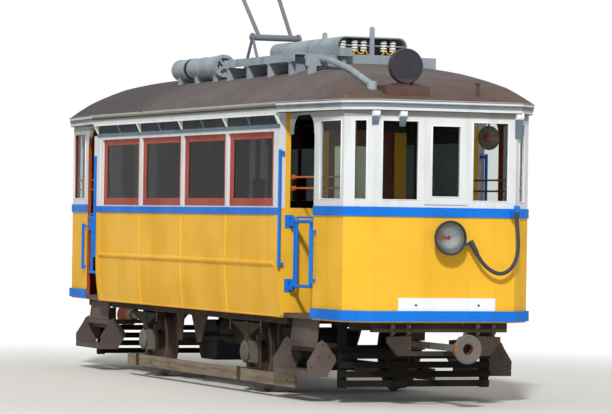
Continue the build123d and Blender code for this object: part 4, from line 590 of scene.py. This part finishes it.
def grow(tree, name, finish, vertices, edges=(), facing=None, body="car", **inputs):
    """Runs a tree on points or edges, and keeps the result as a piece."""
    mesh = bpy.data.meshes.new(name + "_seed")
    mesh.from_pydata([tuple(v) for v in vertices], list(edges), [])
    if facing:
        attribute = mesh.attributes.new("facing", "FLOAT_VECTOR", "POINT")
        for slot, direction in zip(attribute.data, facing):
            slot.vector = direction
    seed = bpy.data.objects.new(name + "_seed", mesh)
    scene.collection.objects.link(seed)
    modifier = seed.modifiers.new("grow", "NODES")
    modifier.node_group = tree
    inputs["Finish"] = finishes[finish]
    for item in tree.interface.items_tree:
        if item.in_out == "INPUT" and item.name in inputs:
            modifier[item.identifier] = inputs[item.name]
    bpy.context.view_layer.update()
    evaluated = seed.evaluated_get(bpy.context.evaluated_depsgraph_get())
    grown = bpy.data.meshes.new_from_object(evaluated)
    grown.name = name
    bpy.data.objects.remove(seed)
    bpy.data.meshes.remove(mesh)
    return keep(name, grown, finish, body)


def bead_lines(name, finish, lines, radius, sides=8, body="car"):
    """A bead along each polyline; a line whose ends meet is closed."""
    vertices, edges = [], []
    for line in lines:
        start = len(vertices)
        closed = Vector(line[0]) == Vector(line[-1])
        points = line[:-1] if closed else line
        vertices += points
        edges += [(start + i, start + i + 1) for i in range(len(points) - 1)]
        if closed:
            edges.append((len(vertices) - 1, start))
    return grow(beads, name, finish, vertices, edges, body=body, Radius=radius, Sides=sides)


def stud_heads(name, finish, places, radius, height, sides=8, body="car"):
    """A head at each place, given as (point, direction that it faces)."""
    points, facing = zip(*places)
    return grow(studs, name, finish, points, (), facing, body, Radius=radius, Height=height, Sides=sides)


def four_ways(x, y, z):
    """The same point at both ends and on both sides of the car."""
    return [(end * x, side * y, z) for end in (-1, 1) for side in (-1, 1)]


def hoop(x, y, z, radius, steps):
    """A closed circle that faces along the car; its first point comes again as its last."""
    angles = [2 * pi * k / steps for k in range(steps)]
    points = [(x, y + radius * cos(a), z + radius * sin(a)) for a in angles]
    return points + points[:1]


# %% [markdown]
# ## Beads on the side panels
# Sheet joints on the body's sides are covered by half-round wooden beads. Each is a circle swept
# along the panel, half sunk in it. Below the rub rail the panel curves in, so the bead's line is
# worked out from the same arc.

# %% Cover the joints of the side panels
side_y, rail_low, rail_high, belt_low = 1.1, 1.297, 1.351, 1.8
tumble_radius = 2.8629
bead_stations = (-1.338, 0.0, 1.338)
bead_low, bead_end, bead_radius = 0.809, 2.81, 0.0095


def panel_y(z):
    """How far the side panel's face stands from the middle of the car at a height."""
    drop = max(rail_low - z, 0.0)
    return side_y - tumble_radius + (tumble_radius**2 - drop**2) ** 0.5


lines = []
for side in (-1, 1):
    for x in bead_stations:
        heights = [bead_low + i * (rail_low - bead_low) / 8 for i in range(9)]
        lines.append([(x, side * panel_y(z), z) for z in heights])
        lines.append([(x, side * side_y, rail_high), (x, side * side_y, belt_low)])
    lines.append([(x, side * panel_y(bead_low), bead_low) for x in (-bead_end, bead_end)])
bead_lines("panel_beads", "trim", lines, bead_radius)
print("beads on the side panels:", len(lines))

# %% [markdown]
# ## Rivets, screws and bolts
# The dash is sheet steel riveted to an angle at each bend of its plan. The belts, the rub rails
# and the bumpers are held by screws at regular steps. All their heads are one stud tree, fed
# with points on the surface and the direction in which it faces.

# %% A point on the vestibule's plan
near_plan = [(3.45, -0.997), (4.107, -0.964), (4.303, -0.74)]
vestibule_plan = near_plan + [(x, -y) for x, y in reversed(near_plan)]


def on_plan(run, along, out, z):
    """A point along one run of the front plan, standing out from it, and the way it faces."""
    start, end = Vector(vestibule_plan[run]), Vector(vestibule_plan[run + 1])
    way = (end - start).normalized()
    normal = Vector((way.y, -way.x))
    point = start + way * along + normal * out
    return (point.x, point.y, z), (normal.x, normal.y, 0.0)


def run_length(run):
    """The length of one run of the plan."""
    return (Vector(vestibule_plan[run + 1]) - Vector(vestibule_plan[run])).length


def both_ends(places):
    """The same points at the rear, turned end for end."""
    return places + [((-p[0], -p[1], p[2]), (-w[0], -w[1], w[2])) for p, w in places]


print("runs of the plan:", [round(run_length(run), 3) for run in range(len(vestibule_plan) - 1)])

# %% Rivet the dash
# A column stands 38 mm from each bend; at the door post there are two, 30 and 85 mm from its edge.
rivet_low, rivet_step = 0.958, 0.118
rivet_rows = [rivet_low + i * rivet_step for i in range(7)]
bend, post = (0.038,), (0.03, 0.085)
rivet_places = []
for run in range(5):
    length = run_length(run)
    starts = post if run == 0 else bend
    stops = post[::-1] if run == 4 else bend
    for along in (*starts, *[length - stop for stop in stops]):
        rivet_places += [on_plan(run, along, -0.0005, z) for z in rivet_rows]
stud_heads("dash_rivets", "trim", both_ends(rivet_places), radius=0.0105, height=0.006)
print("rivets in the dashes:", 2 * len(rivet_places))

# %% Screw down the belts, rails and bumpers
dash_step, side_step = 0.3, 0.446
belt_places, rail_places, bumper_places = [], [], []
for run in range(5):
    length = run_length(run)
    count = max(1, round(length / dash_step))
    for i in range(count):
        along = (i + 0.5) * length / count
        belt_places.append(on_plan(run, along, out=0.0118, z=1.845))
        bumper_places.append(on_plan(run, along, out=0.0258, z=0.86))
belt_places = both_ends(belt_places)
bumper_places = both_ends(bumper_places)
for side in (-1, 1):
    stations = [(i - 6) * side_step for i in range(13)]
    belt_places += [((x, side * 1.1118, 1.836), (0, side, 0)) for x in stations]
    rail_places += [((x, side * 1.1215, 1.324), (0, side, 0)) for x in stations]
plate_places = [((4.3068, y, 0.964), (1, 0, 0)) for y in (-0.288, 0.365)]
stud_heads("belt_screws", "blue", belt_places, radius=0.008, height=0.004)
stud_heads("rail_screws", "trim", rail_places, radius=0.008, height=0.004)
stud_heads("bumper_bolts", "blue", bumper_places, radius=0.014, height=0.009, sides=6)
stud_heads("plate_screws", "dark", plate_places, radius=0.013, height=0.004, sides=10)
print("in belts, rails and bumpers:", len(belt_places), len(rail_places), len(bumper_places))

# %% [markdown]
# ## Beads round the vestibule windows
# Each pane of the platform is held by a thin bead round its opening. A bead is a closed line on
# the wall's face, so its corners are mitred by the sweep itself.

# %% Bead the vestibule windows
# Run of the plan, where the opening starts and ends on it, its sill, its head, how far its frame
# stands out, and whether it has a twin on the other side.
window_openings = (
    (0, 0.128, 0.596, 1.958, 2.706, 0.0, True),
    (1, 0.104, 0.224, 1.958, 2.706, 0.0, True),
    (2, 0.085, 0.455, 1.958, 2.706, 0.0, True),
    (2, 0.592, 0.888, 1.992, 2.665, 0.012, False),
)
lines = []
for run, start, end, sill, head, out, twin in window_openings:
    corners = ((start, sill), (end, sill), (end, head), (start, head), (start, sill))
    lines.append([on_plan(run, along, out, z)[0] for along, z in corners])
    if twin:
        lines.append([(x, -y, z) for x, y, z in lines[-1]])
lines += [[(-x, y, z) for x, y, z in line] for line in lines]
bead_lines("window_beads", "bright", lines, radius=0.007)
print("beaded windows:", len(lines))

# %% [markdown]
# ## Roof seams and the drip rail
# The canvas of the roof is laid in widths of about 1.2 m with a flat seam between them. The
# seams have to lie on the double-curved roof, so each point is dropped on to the CAD roof with a
# ray. A thin metal drip rail runs round the eave.

# %% Lay the seams on the roof
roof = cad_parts["roof"].data
roof_faces = [tuple(face.vertices) for face in roof.polygons]
roof_tree = BVHTree.FromPolygons([vertex.co.copy() for vertex in roof.vertices], roof_faces)
eave = [(4.372, 0.772), (4.13, 1.012), (2.9, 1.166)]
seam_step, seam_inset = 1.2, 0.012


def eave_y(x):
    """Half the width of the eave at a station."""
    x = abs(x)
    if x <= eave[2][0]:
        return eave[2][1]
    (x0, y0), (x1, y1) = (eave[2], eave[1]) if x < eave[1][0] else (eave[1], eave[0])
    return y0 + (y1 - y0) * (x - x0) / (x1 - x0)


seams = []
for i in range(7):
    x = (i - 3) * seam_step
    edge = eave_y(x) - seam_inset
    points = []
    for k in range(33):
        y = edge * (k - 16) / 16
        hit = roof_tree.ray_cast(Vector((x, y, 5.0)), Vector((0, 0, -1)))[0]
        if hit:
            points.append((x, y, hit.z))
    seams.append(points)
bead_lines("roof_seams", "canvas", seams, radius=0.0045, sides=6)
drip_inset, drip_height = 0.008, 2.897
quarter = [(x - drip_inset, y - drip_inset, drip_height) for x, y in eave]
half = quarter + [(-x, y, z) for x, y, z in reversed(quarter)]
ring = half + [(-x, -y, z) for x, y, z in half]
bead_lines("drip_rail", "roof_iron", [ring + ring[:1]], radius=0.0075)
print("seams:", len(seams), "points in each:", len(seams[3]))

# %% [markdown]
# ## Turned pieces
# Lamps, boots and bulbs are turned on a lathe in the real object. A profile of (distance along
# the axis, radius) is spun round the axis here, and the ends that reach the axis close by
# themselves when doubles are merged.

# %% Spin a profile


def spun(profile, origin, axis, steps=48):
    """A turned mesh: the profile's points are (along, radius) from the origin along the axis."""
    axis = Vector(axis).normalized()
    side = axis.orthogonal().normalized()
    other = axis.cross(side)
    turned_mesh = bmesh.new()
    rings = []
    spokes = [side * cos(2 * pi * k / steps) + other * sin(2 * pi * k / steps) for k in range(steps)]
    for along, radius in profile:
        centre = Vector(origin) + axis * along
        rings.append([turned_mesh.verts.new(centre + spoke * radius) for spoke in spokes])
    for near, far in zip(rings, rings[1:]):
        for k in range(steps):
            n = (k + 1) % steps
            turned_mesh.faces.new((near[k], near[n], far[n], far[k]))
    return turned_mesh


def join(name, parts, finish, smooth=True):
    """Keeps bmeshes as one piece, with their doubles merged and their faces turned outwards."""
    made = bpy.data.meshes.new(name)
    joined = bmesh.new()
    for part in parts:
        bmesh.ops.remove_doubles(part, verts=part.verts, dist=0.00005)
        bmesh.ops.recalc_face_normals(part, faces=part.faces)
        part.to_mesh(made)
        joined.from_mesh(made)
        part.free()
    for face in joined.faces:
        face.smooth = smooth
    joined.to_mesh(made)
    joined.free()
    if smooth:
        made.set_sharp_from_angle(angle=0.6)
    return keep(name, made, finish)


# %% [markdown]
# ## Headlamps
# A headlamp is a sheet steel shell with a thin black rim, a tinned bowl, a slightly domed glass
# and an amber bulb. Each is its own piece, so each has its own finish, and together they replace
# the plain solid. The wall of the shell has a real thickness, because the edge shows.

# %% Build the headlamps
lamp_height, lamp_back = 1.605, 4.303
headlamp_parts = {
    ("headlamp_shells", "dark"): [
        (0.0, 0.0), (0.0, 0.062), (0.024, 0.062), (0.034, 0.086), (0.046, 0.108), (0.064, 0.129),
        (0.09, 0.145), (0.123, 0.156), (0.123, 0.153), (0.09, 0.142), (0.066, 0.126), (0.049, 0.106),
        (0.037, 0.084), (0.028, 0.058), (0.02, 0.0),
    ],
    ("headlamp_bowls", "reflector"): [
        (0.04, 0.0), (0.043, 0.03), (0.05, 0.06), (0.062, 0.09), (0.08, 0.115), (0.102, 0.134),
        (0.126, 0.147), (0.126, 0.1495), (0.1, 0.1365), (0.077, 0.1175), (0.059, 0.092), (0.047, 0.061),
        (0.04, 0.031), (0.037, 0.0),
    ],
    ("headlamp_rims", "dark"): [
        (0.12, 0.147), (0.12, 0.16), (0.126, 0.1645), (0.137, 0.166), (0.148, 0.1655), (0.154, 0.162),
        (0.1565, 0.156), (0.1545, 0.151), (0.148, 0.147), (0.12, 0.147),
    ],
    ("headlamp_glasses", "lens"): [
        (0.144, 0.0), (0.1435, 0.05), (0.141, 0.1), (0.136, 0.1475), (0.131, 0.1475), (0.136, 0.1),
        (0.1385, 0.05), (0.139, 0.0),
    ],
    ("headlamp_bulbs", "bulb"): [
        (0.07, 0.0), (0.07, 0.01), (0.078, 0.017), (0.088, 0.0205), (0.098, 0.0185), (0.105, 0.011),
        (0.108, 0.0),
    ],
    ("headlamp_sockets", "copper"): [
        (0.037, 0.0), (0.037, 0.016), (0.07, 0.016), (0.072, 0.012), (0.072, 0.0),
    ],
}
for (name, finish), profile in headlamp_parts.items():
    pair = [spun(profile, (end * lamp_back, 0, lamp_height), (end, 0, 0), steps=56) for end in (-1, 1)]
    made = join(name, pair, finish)
    if name == "headlamp_shells":
        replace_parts(made, "headlamps")
print("turned parts in a headlamp:", len(headlamp_parts))

# %% [markdown]
# The smaller lamp that hangs inside the front window is a dish of the same make, open at the
# front, on an arm from the window frame.

# %% Build the cab lamp
dish_centre = (4.12, 0.535, 2.568)
dish_profile = [
    (-0.06, 0.0), (-0.057, 0.03), (-0.048, 0.062), (-0.03, 0.092), (0.0, 0.117), (0.0, 0.1125),
    (-0.026, 0.089), (-0.043, 0.06), (-0.052, 0.029), (-0.055, 0.0),
]
lining_profile = [
    (-0.0545, 0.0), (-0.0515, 0.029), (-0.0425, 0.0595), (-0.0255, 0.0885), (0.0005, 0.112),
    (0.0005, 0.1105), (-0.024, 0.087), (-0.041, 0.0585), (-0.05, 0.028), (-0.053, 0.0),
]
cab_bulb_profile = [
    (-0.045, 0.0), (-0.045, 0.014), (-0.033, 0.024), (-0.018, 0.028), (-0.004, 0.024), (0.006, 0.013),
    (0.009, 0.0),
]
dish = join("cab_lamp_dish", [spun(dish_profile, dish_centre, (1, 0, 0), steps=40)], "dark")
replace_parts(dish, "cab_lamp")
join("cab_lamp_lining", [spun(lining_profile, dish_centre, (1, 0, 0), steps=40)], "old_tin")
join("cab_lamp_bulb", [spun(cab_bulb_profile, dish_centre, (1, 0, 0), steps=24)], "red_bulb")
arm_route = [(x, dish_centre[1], z) for x, z in ((4.11, 2.68), (4.13, 2.72), (4.18, 2.75), (4.265, 2.76))]
bead_lines("cab_lamp_arm", "dark", [arm_route], radius=0.009)
print("cab lamp at", dish_centre)

# %% [markdown]
# ## Boots on the cable
# Where the cable enters its socket and its plug, a tapered rubber boot keeps the bend gentle.

boot_profile = [
    (-0.004, 0.0), (-0.004, 0.0255), (0.012, 0.0255), (0.016, 0.0235), (0.02, 0.0255), (0.034, 0.0245),
    (0.038, 0.0225), (0.042, 0.0238), (0.056, 0.0225), (0.074, 0.0195), (0.074, 0.0),
]
top_end = Vector((cable_plane, *cable_route[0]))
plug_end = Vector((cable_plane, *cable_route[-1]))
plug_way = Vector((cable_plane, *cable_route[-2])) - plug_end
cable_ends = ((top_end, (0, 0, -1)), (plug_end, plug_way))
boots = [spun(boot_profile, end, way, steps=28) for end, way in cable_ends]
cable_boots = join("cable_boots", boots, "rubber")
collar_profile = [(0.0, 0.0), (0.0, 0.029), (0.008, 0.031), (0.03, 0.031), (0.036, 0.029), (0.036, 0.0)]
collar_base = top_end + Vector((0, 0, 0.012))
join("socket_collar", [spun(collar_profile, collar_base, (0, 0, 1), steps=32)], "blue")
print("boots on the cable:", len(boots))

# %% [markdown]
# ## Plates, straps and tongues
# Straps and iron tongues are cut from flat bar. A helper extrudes a flat outline by a vector and
# rounds its edges with a bevel, since a cut edge without one looks like paper.

# %% Cut flat bar


def cut_bar(corners, reach, bevel=0.0015):
    """A flat outline of points, extruded by a vector and bevelled."""
    bar = bmesh.new()
    face = bar.faces.new([bar.verts.new(corner) for corner in corners])
    moved = bmesh.ops.extrude_face_region(bar, geom=[face])["geom"]
    bmesh.ops.translate(bar, verts=[g for g in moved if isinstance(g, bmesh.types.BMVert)], vec=reach)
    bmesh.ops.recalc_face_normals(bar, faces=bar.faces)
    bmesh.ops.bevel(bar, geom=bar.edges[:], offset=bevel, segments=1, affect="EDGES")
    return bar


# %% Iron tongues, spring straps and axle box covers
axle_x, axle_z, guard_y = 1.56, 0.41, 1.018
tongue_half, tongue_low, tongue_top, tongue_thick = 0.045, 0.165, 0.262, 0.007
strap_y, strap_thick, strap_half, strap_reach, strap_low, strap_top = 0.947, 0.009, 0.016, 0.43, 0.62, 0.76
cover_y, plate_y, plate_half_x, plate_half_z = 0.9595, 0.9378, 0.08, 0.09
tongue_bolts, tongue_face, strap_bolts, strap_face = (0.15, 0.215), 0.0068, (0.645, 0.74), 0.9558
bend_steps = [pi + pi * k / 10 for k in range(11)]
tongues, straps, covers, cover_bolts, rust_bolts = [], [], [], [], []
for end in (-1, 1):
    for side in (-1, 1):
        x, way = end * axle_x, (0, side, 0)
        tongue = [(x + tongue_half * cos(a), tongue_low + tongue_half * sin(a)) for a in bend_steps]
        tongue = [(x - tongue_half, tongue_top), *tongue, (x + tongue_half, tongue_top)]
        corners = [(px, side * guard_y, pz) for px, pz in tongue]
        tongues.append(cut_bar(corners, (0, side * tongue_thick, 0)))
        rust_bolts += [((x, side * (guard_y + tongue_face), z), way) for z in tongue_bolts]
        for tip in (-1, 1):
            tip_x = x + tip * strap_reach
            left, right = tip_x - strap_half, tip_x + strap_half
            strap = ((left, strap_low), (right, strap_low), (right, strap_top), (left, strap_top))
            corners = [(px, side * strap_y, pz) for px, pz in strap]
            straps.append(cut_bar(corners, (0, side * strap_thick, 0)))
            rust_bolts += [((tip_x, side * strap_face, z), way) for z in strap_bolts]
        covers.append(((x, side * cover_y, axle_z), way))
        for bolt_x in (x - plate_half_x, x + plate_half_x):
            for bolt_z in (axle_z - plate_half_z, axle_z + plate_half_z):
                cover_bolts.append(((bolt_x, side * plate_y, bolt_z), way))
join("plank_tongues", tongues, "frame_steel", smooth=False)
join("spring_straps", straps, "step_steel", smooth=False)
stud_heads("axle_box_covers", "box_iron", covers, radius=0.118, height=0.024)
stud_heads("axle_box_bolts", "box_iron", cover_bolts, radius=0.013, height=0.012, sides=6)
rib_seeds = [(x - 0.045, y, z) for x, y, z in four_ways(axle_x, 0.9715, axle_z)]
rib_size, rib_step = (0.009, 0.022, 0.125), (0.03, 0.0, 0.0)
grow(slats, "axle_box_ribs", "box_iron", rib_seeds, Size=rib_size, Step=rib_step, Count=4)
print("straps and tongues:", len(straps) + len(tongues))

# %% [markdown]
# ## Hoods over the windows
# The ventilator hood along each side is a narrow white shelf on brackets, with a dark sheet of
# painted shade in the recess behind it and a blue-grey board below. Wide brackets stand at the
# window posts, and the narrow ones halfway are grey as painted shade. Each is a bar with its own
# section, and the ends are closed by white plates.

# %% Build the hoods
hood_end, hood_top, bracket_step = 2.81, 2.797, 0.669
wide_bracket, narrow_bracket, end_plate = 0.04, 0.016, 0.045
hood_sections = {
    "shelf": [
        (side_y, 2.785), (1.138, 2.785), (1.138, 2.777), (1.152, 2.777), (1.152, hood_top),
        (side_y, hood_top),
    ],
    "bracket": [(side_y, 2.787), (1.15, 2.787), (1.15, 2.775), (1.109, 2.69), (side_y, 2.69)],
    "board": [(side_y, 2.652), (1.108, 2.652), (1.108, 2.688), (side_y, 2.69)],
    "recess": [(side_y, 2.688), (1.103, 2.688), (1.103, 2.788), (side_y, 2.788)],
}


def hood_bar(section, side, start, stop):
    """A bar along the car with one of the hood's sections, between two stations."""
    corners = [(start, side * y, z) for y, z in hood_sections[section]]
    return cut_bar(corners, (stop - start, 0, 0), bevel=0.001)


shelves, brackets, stays, boards, painted_shade_sheets = [], [], [], [], []
for side in (-1, 1):
    for section, bars in (("shelf", shelves), ("board", boards), ("recess", painted_shade_sheets)):
        bars.append(hood_bar(section, side, -hood_end, hood_end))
    for i in range(7):
        x = (i - 3) * bracket_step
        bars, width = (brackets, wide_bracket) if i % 2 else (stays, narrow_bracket)
        bars.append(hood_bar("bracket", side, x - width / 2, x + width / 2))
    for end in (-1, 1):
        brackets.append(hood_bar("bracket", side, end * hood_end, end * (hood_end - end_plate)))
hood_brackets = len(brackets) + len(stays)
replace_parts(join("hood_shelves", shelves, "bright", smooth=False), "vent_hoods")
join("hood_brackets", brackets, "bright", smooth=False)
# The narrow stays are grey as painted shade.
join("hood_stays", stays, "primer", smooth=False)
join("hood_boards", boards, "primer", smooth=False)
# A dark sheet of painted shade at the back of each hood.
join("hood_painted_shade_sheets", painted_shade_sheets, "recess", smooth=False)

# %% Carve the corbels
post_x, foot_inset = 4.302, 0.004
corbels = ((-0.735, 0.07, 2.66), (-0.456, 0.07, 2.65), (0.76, 0.076, 2.56))
scroll_turn = [-pi * k / 12 for k in range(8)]
scroll = [(post_x, hood_top + 0.006), (4.352, hood_top + 0.006), (4.352, 2.784)]
scroll += [(4.329 + 0.023 * cos(a), 2.764 + 0.023 * sin(a)) for a in scroll_turn] + [(post_x, 2.735)]
scrolls, feet = [], []
for middle, width, foot in corbels:
    taper = [(post_x, 2.74), (4.336, 2.74), (4.33, 2.7), (4.314, foot + 0.012), (4.308, foot), (post_x, foot)]
    for end in (-1, 1):
        for outline, group, inset in ((scroll, scrolls, 0.0), (taper, feet, foot_inset)):
            start = end * (middle - width / 2 + inset)
            corners = [(end * x, start, z) for x, z in outline]
            group.append(cut_bar(corners, (0, end * (width - 2 * inset), 0), bevel=0.002))
join("corbel_scrolls", scrolls, "bright", smooth=False)
# The corbels' feet are blue-grey as painted shade.
join("corbel_feet", feet, "primer", smooth=False)
print("brackets:", hood_brackets, "corbels:", 2 * len(corbels))

# %% [markdown]
# ## Bolts of the underframe, the planks and the steps
# Hexagonal heads hold the planks to their stirrups, the step plates to their boards and the
# cheeks to the sole bars. They are rusty long before the plates are.

# %% Bolt the lower works
plank_stations = (-1.1, -0.55, 0.0, 0.55, 1.1, 2.1, 2.9)
cheek_bolts = ((1.04, 0.345), (0.97, 0.44), (0.93, 0.56), (0.86, 0.45))
cheek_faces = ((3.5602, 1), (2.6598, -1))
beam_x, sole_y, sole_z, sole_step = 4.3402, 0.9468, 0.762, 0.36
beam_bolts = ((0.36, 0.7), (0.36, 0.76), (0.525, 0.7), (0.525, 0.76), (0.37, 0.55), (0.44, 0.55))
for side in (-1, 1):
    for x in plank_stations:
        rust_bolts.append(((-side * x, side * (guard_y - 0.0005), 0.182), (0, side, 0)))
    rust_bolts += [(((i - 7) * sole_step, side * sole_y, sole_z), (0, side, 0)) for i in range(15)]
for end in (-1, 1):
    for side in (-1, 1):
        for y, z in cheek_bolts:
            rust_bolts += [((end * x, side * y, z), (end * way, 0, 0)) for x, way in cheek_faces]
        rust_bolts += [((end * beam_x, side * y, z), (end, 0, 0)) for y, z in beam_bolts]
stud_heads("rusty_bolts", "rust", rust_bolts, radius=0.013, height=0.009, sides=6)
rib_section, rib_step, rib_count = (0.009, 0.006), (0.0, 0.034, 0.0), 6
ribbed_steps = (("step_ribs", 3.11, 0.98, 0.3065, 0.84), ("tread_ribs", 3.15, 0.86, 0.5765, 0.66))
for name, x, y, z, length in ribbed_steps:
    seeds = [(px, py - (0.075 if py > 0 else 0.095), pz) for px, py, pz in four_ways(x, y, z)]
    grow(slats, name, "step_steel", seeds, Size=(length, *rib_section), Step=rib_step, Count=rib_count)
print("rusty bolts:", len(rust_bolts))

# %% [markdown]
# ## Couplers
# A turned ring stands on the coupler's face round the socket, and a pin drops through the head to
# hold the drawbar of the next car.

# %% Ring and pin of each coupler
coupler_z, socket_radius, socket_face = 0.57, 0.104, 4.8775
pin_x, pin_z = 4.8, 0.7
for end, place in ((1, "front"), (-1, "rear")):
    body = "coupler_" + place
    ring = hoop(end * socket_face, 0.0, coupler_z, socket_radius, steps=40)
    bead_lines("coupler_ring_" + place, "coupler_iron", [ring], radius=0.0022, body=body)
    pin = [((end * pin_x, 0, pin_z), (0, 0, 1))]
    stud_heads("coupler_pin_" + place, "rust", pin, radius=0.024, height=0.03, sides=12, body=body)
print("socket radius:", socket_radius)

# %% [markdown]
# ## Roof gear
# The resistor bank is open at its front over a row of white porcelain insulators, joined by
# wires with yellow cambric. The control drum has raised bands and a bolted end plate. Bands and
# wires are swept lines, and insulator sheds and bolts are studs.

# %% Insulators and wires
insulator_rows = (-0.298, -0.168, -0.07, 0.148, 0.247)
shed_heights = (3.451, 3.476, 3.502, 3.53)
sheds = [((2.44, y, z), (0, 0, 1)) for y in insulator_rows for z in shed_heights]
stud_heads("insulator_sheds", "porcelain", sheds, radius=0.036, height=0.022, sides=18)
wire_x, wire_z, wire_sag, short_span = 2.478, 3.46, 0.05, 0.13
wires = []
for start, end in zip(insulator_rows, insulator_rows[1:]):
    sag = wire_sag * (end - start) / short_span
    shares = [k / 8 for k in range(9)]
    wires.append([(wire_x, start + (end - start) * t, wire_z - sag * 4 * t * (1 - t)) for t in shares])
wires.append([(wire_x, insulator_rows[0], wire_z), (2.47, -0.345, 3.43), (2.46, -0.36, 3.41)])
bead_lines("bank_wires", "trim", wires, radius=0.0065, sides=6)
print("insulator sheds:", len(sheds), "wires:", len(wires))

# %% Bands and bolts
drum_y, drum_z, band_radius = -0.55, 3.386, 0.1125
bands = [(x, band_radius) for x in (-1.575, -1.22, -1.09, -0.78, -0.46)] + [(-0.262, 0.1205)]
bands = [hoop(x, drum_y, drum_z, radius, steps=36) for x, radius in bands]
bead_lines("drum_bands", "roof_iron", bands, radius=0.006, sides=6)
plate_x, plate_radius, plate_turns = -0.2082, 0.103, [pi * k / 4 + 0.3 for k in range(8)]
plate_bolts = [(plate_x, drum_y + plate_radius * cos(a), drum_z + plate_radius * sin(a)) for a in plate_turns]
gear_bolts = [(place, (1, 0, 0)) for place in plate_bolts]
bank_side, bank_side_z, bank_front, bank_front_z = 0.3798, 3.43, 2.4998, 3.584
bank_stations = (0.72, 1.0, 1.18, 1.4, 1.62, 1.84, 2.08, 2.28, 2.46)
tray_side, tray_z, tray_stations = -0.6502, 3.39, (0.1, 0.5, 0.9, 1.3, 1.7, 1.95)
for side in (-1, 1):
    gear_bolts += [((x, side * bank_side, bank_side_z), (0, side, 0)) for x in bank_stations]
    gear_bolts += [((bank_front, side * y, bank_front_z), (1, 0, 0)) for y in (0.06, 0.2)]
gear_bolts += [((x, tray_side, tray_z), (0, -1, 0)) for x in tray_stations]
stud_heads("roof_gear_bolts", "roof_iron", gear_bolts, radius=0.011, height=0.008, sides=6)
bead_lines("disc_rim", "dark", [hoop(4.2, -0.37, 3.228, 0.158, steps=48)], radius=0.006, sides=6)
print("bolts on the roof gear:", len(gear_bolts))

# %% [markdown]
# ## Inside the saloon
# The benches are beech slats on a plain frame, seen through the windows. The slats are boxes
# in a row on the seat and on the back.

# %% Slat the benches
slat_length, slat_width, slat_thick = 5.16, 0.036, 0.011
seats, backs = 8, 7
seeds = [(0.0, -0.985, 1.2895), (0.0, 0.625, 1.2895)]
seat_size, seat_step = (slat_length, slat_width, slat_thick), (0.0, 0.048, 0.0)
grow(slats, "seat_slats", "bench", seeds, Size=seat_size, Step=seat_step, Count=seats)
seeds = [(0.0, -0.996, 1.36), (0.0, 0.996, 1.36)]
back_size, back_step = (slat_length, slat_thick, slat_width), (0.0, 0.0, 0.05)
grow(slats, "back_slats", "bench", seeds, Size=back_size, Step=back_step, Count=backs)
print("bench slats:", 2 * (seats + backs))

# %% [markdown]
# ## Floor and light
# The floor is pale and fades to white away from the car, for the camera only, so that no extra
# light falls on the paint. The sun stands high over the front's near corner, and the world fills
# the shadows. At this level a colour renders about as it is written.

# %% Lay the floor
floor_radius, floor_colour = 60.0, "#DDDDDA"
floor_mesh = bpy.data.meshes.new("street_floor")
floor_disc = bmesh.new()
bmesh.ops.create_circle(floor_disc, cap_ends=True, segments=96, radius=floor_radius)
floor_disc.to_mesh(floor_mesh)
floor_disc.free()
street = bpy.data.objects.new("street_floor", floor_mesh)
scene.collection.objects.link(street)

settings = {"Roughness": 0.95, "Emission Color": (1, 1, 1, 1)}
paving, tree, shader = new_material("pale_paving", settings)
place = add(tree, "ShaderNodeTexCoord").outputs["Object"]
distance = add(tree, "ShaderNodeVectorMath", {0: place}, operation="LENGTH").outputs["Value"]
edges = {"Value": distance, "From Min": 4.5, "From Max": 13.0}
fade = add(tree, "ShaderNodeMapRange", edges, interpolation_type="SMOOTHSTEP").outputs[0]
seen = add(tree, "ShaderNodeLightPath").outputs["Is Camera Ray"]
glow = add(tree, "ShaderNodeMath", {0: fade, 1: seen}, operation="MULTIPLY").outputs[0]
tree.links.new(glow, shader.inputs["Emission Strength"])
tree.links.new(coats(tree, floor_colour, (glow, "#000000")), shader.inputs["Base Color"])
floor_mesh.materials.append(paving)
print("floor reaches", floor_radius, "m")

# %% Light the car
sun = bpy.data.lights.new("sun", "SUN")
sun.energy = 2.65
sun.angle = 0.09
sun_lamp = bpy.data.objects.new("sun", sun)
sun_lamp.rotation_euler = Vector((1.0, -0.5, 0.83)).to_track_quat("Z", "Y").to_euler()
scene.collection.objects.link(sun_lamp)

world = bpy.data.worlds.new("studio")
scene.world = world
world.use_nodes = True
tree = world.node_tree
backdrop = tree.nodes["Background"]
backdrop.inputs["Color"].default_value = (1, 1, 1, 1)
path = add(tree, "ShaderNodeLightPath").outputs
seen = path["Is Camera Ray"]
for ray in ("Is Transmission Ray", "Is Glossy Ray"):
    seen = add(tree, "ShaderNodeMath", {0: seen, 1: path[ray]}, operation="MAXIMUM").outputs[0]
edges = {"Value": seen, "To Min": 0.45, "To Max": 1.0}
tree.links.new(add(tree, "ShaderNodeMapRange", edges).outputs[0], backdrop.inputs["Strength"])
scene.view_settings.view_transform = "Standard"
print("sun strength:", sun.energy)
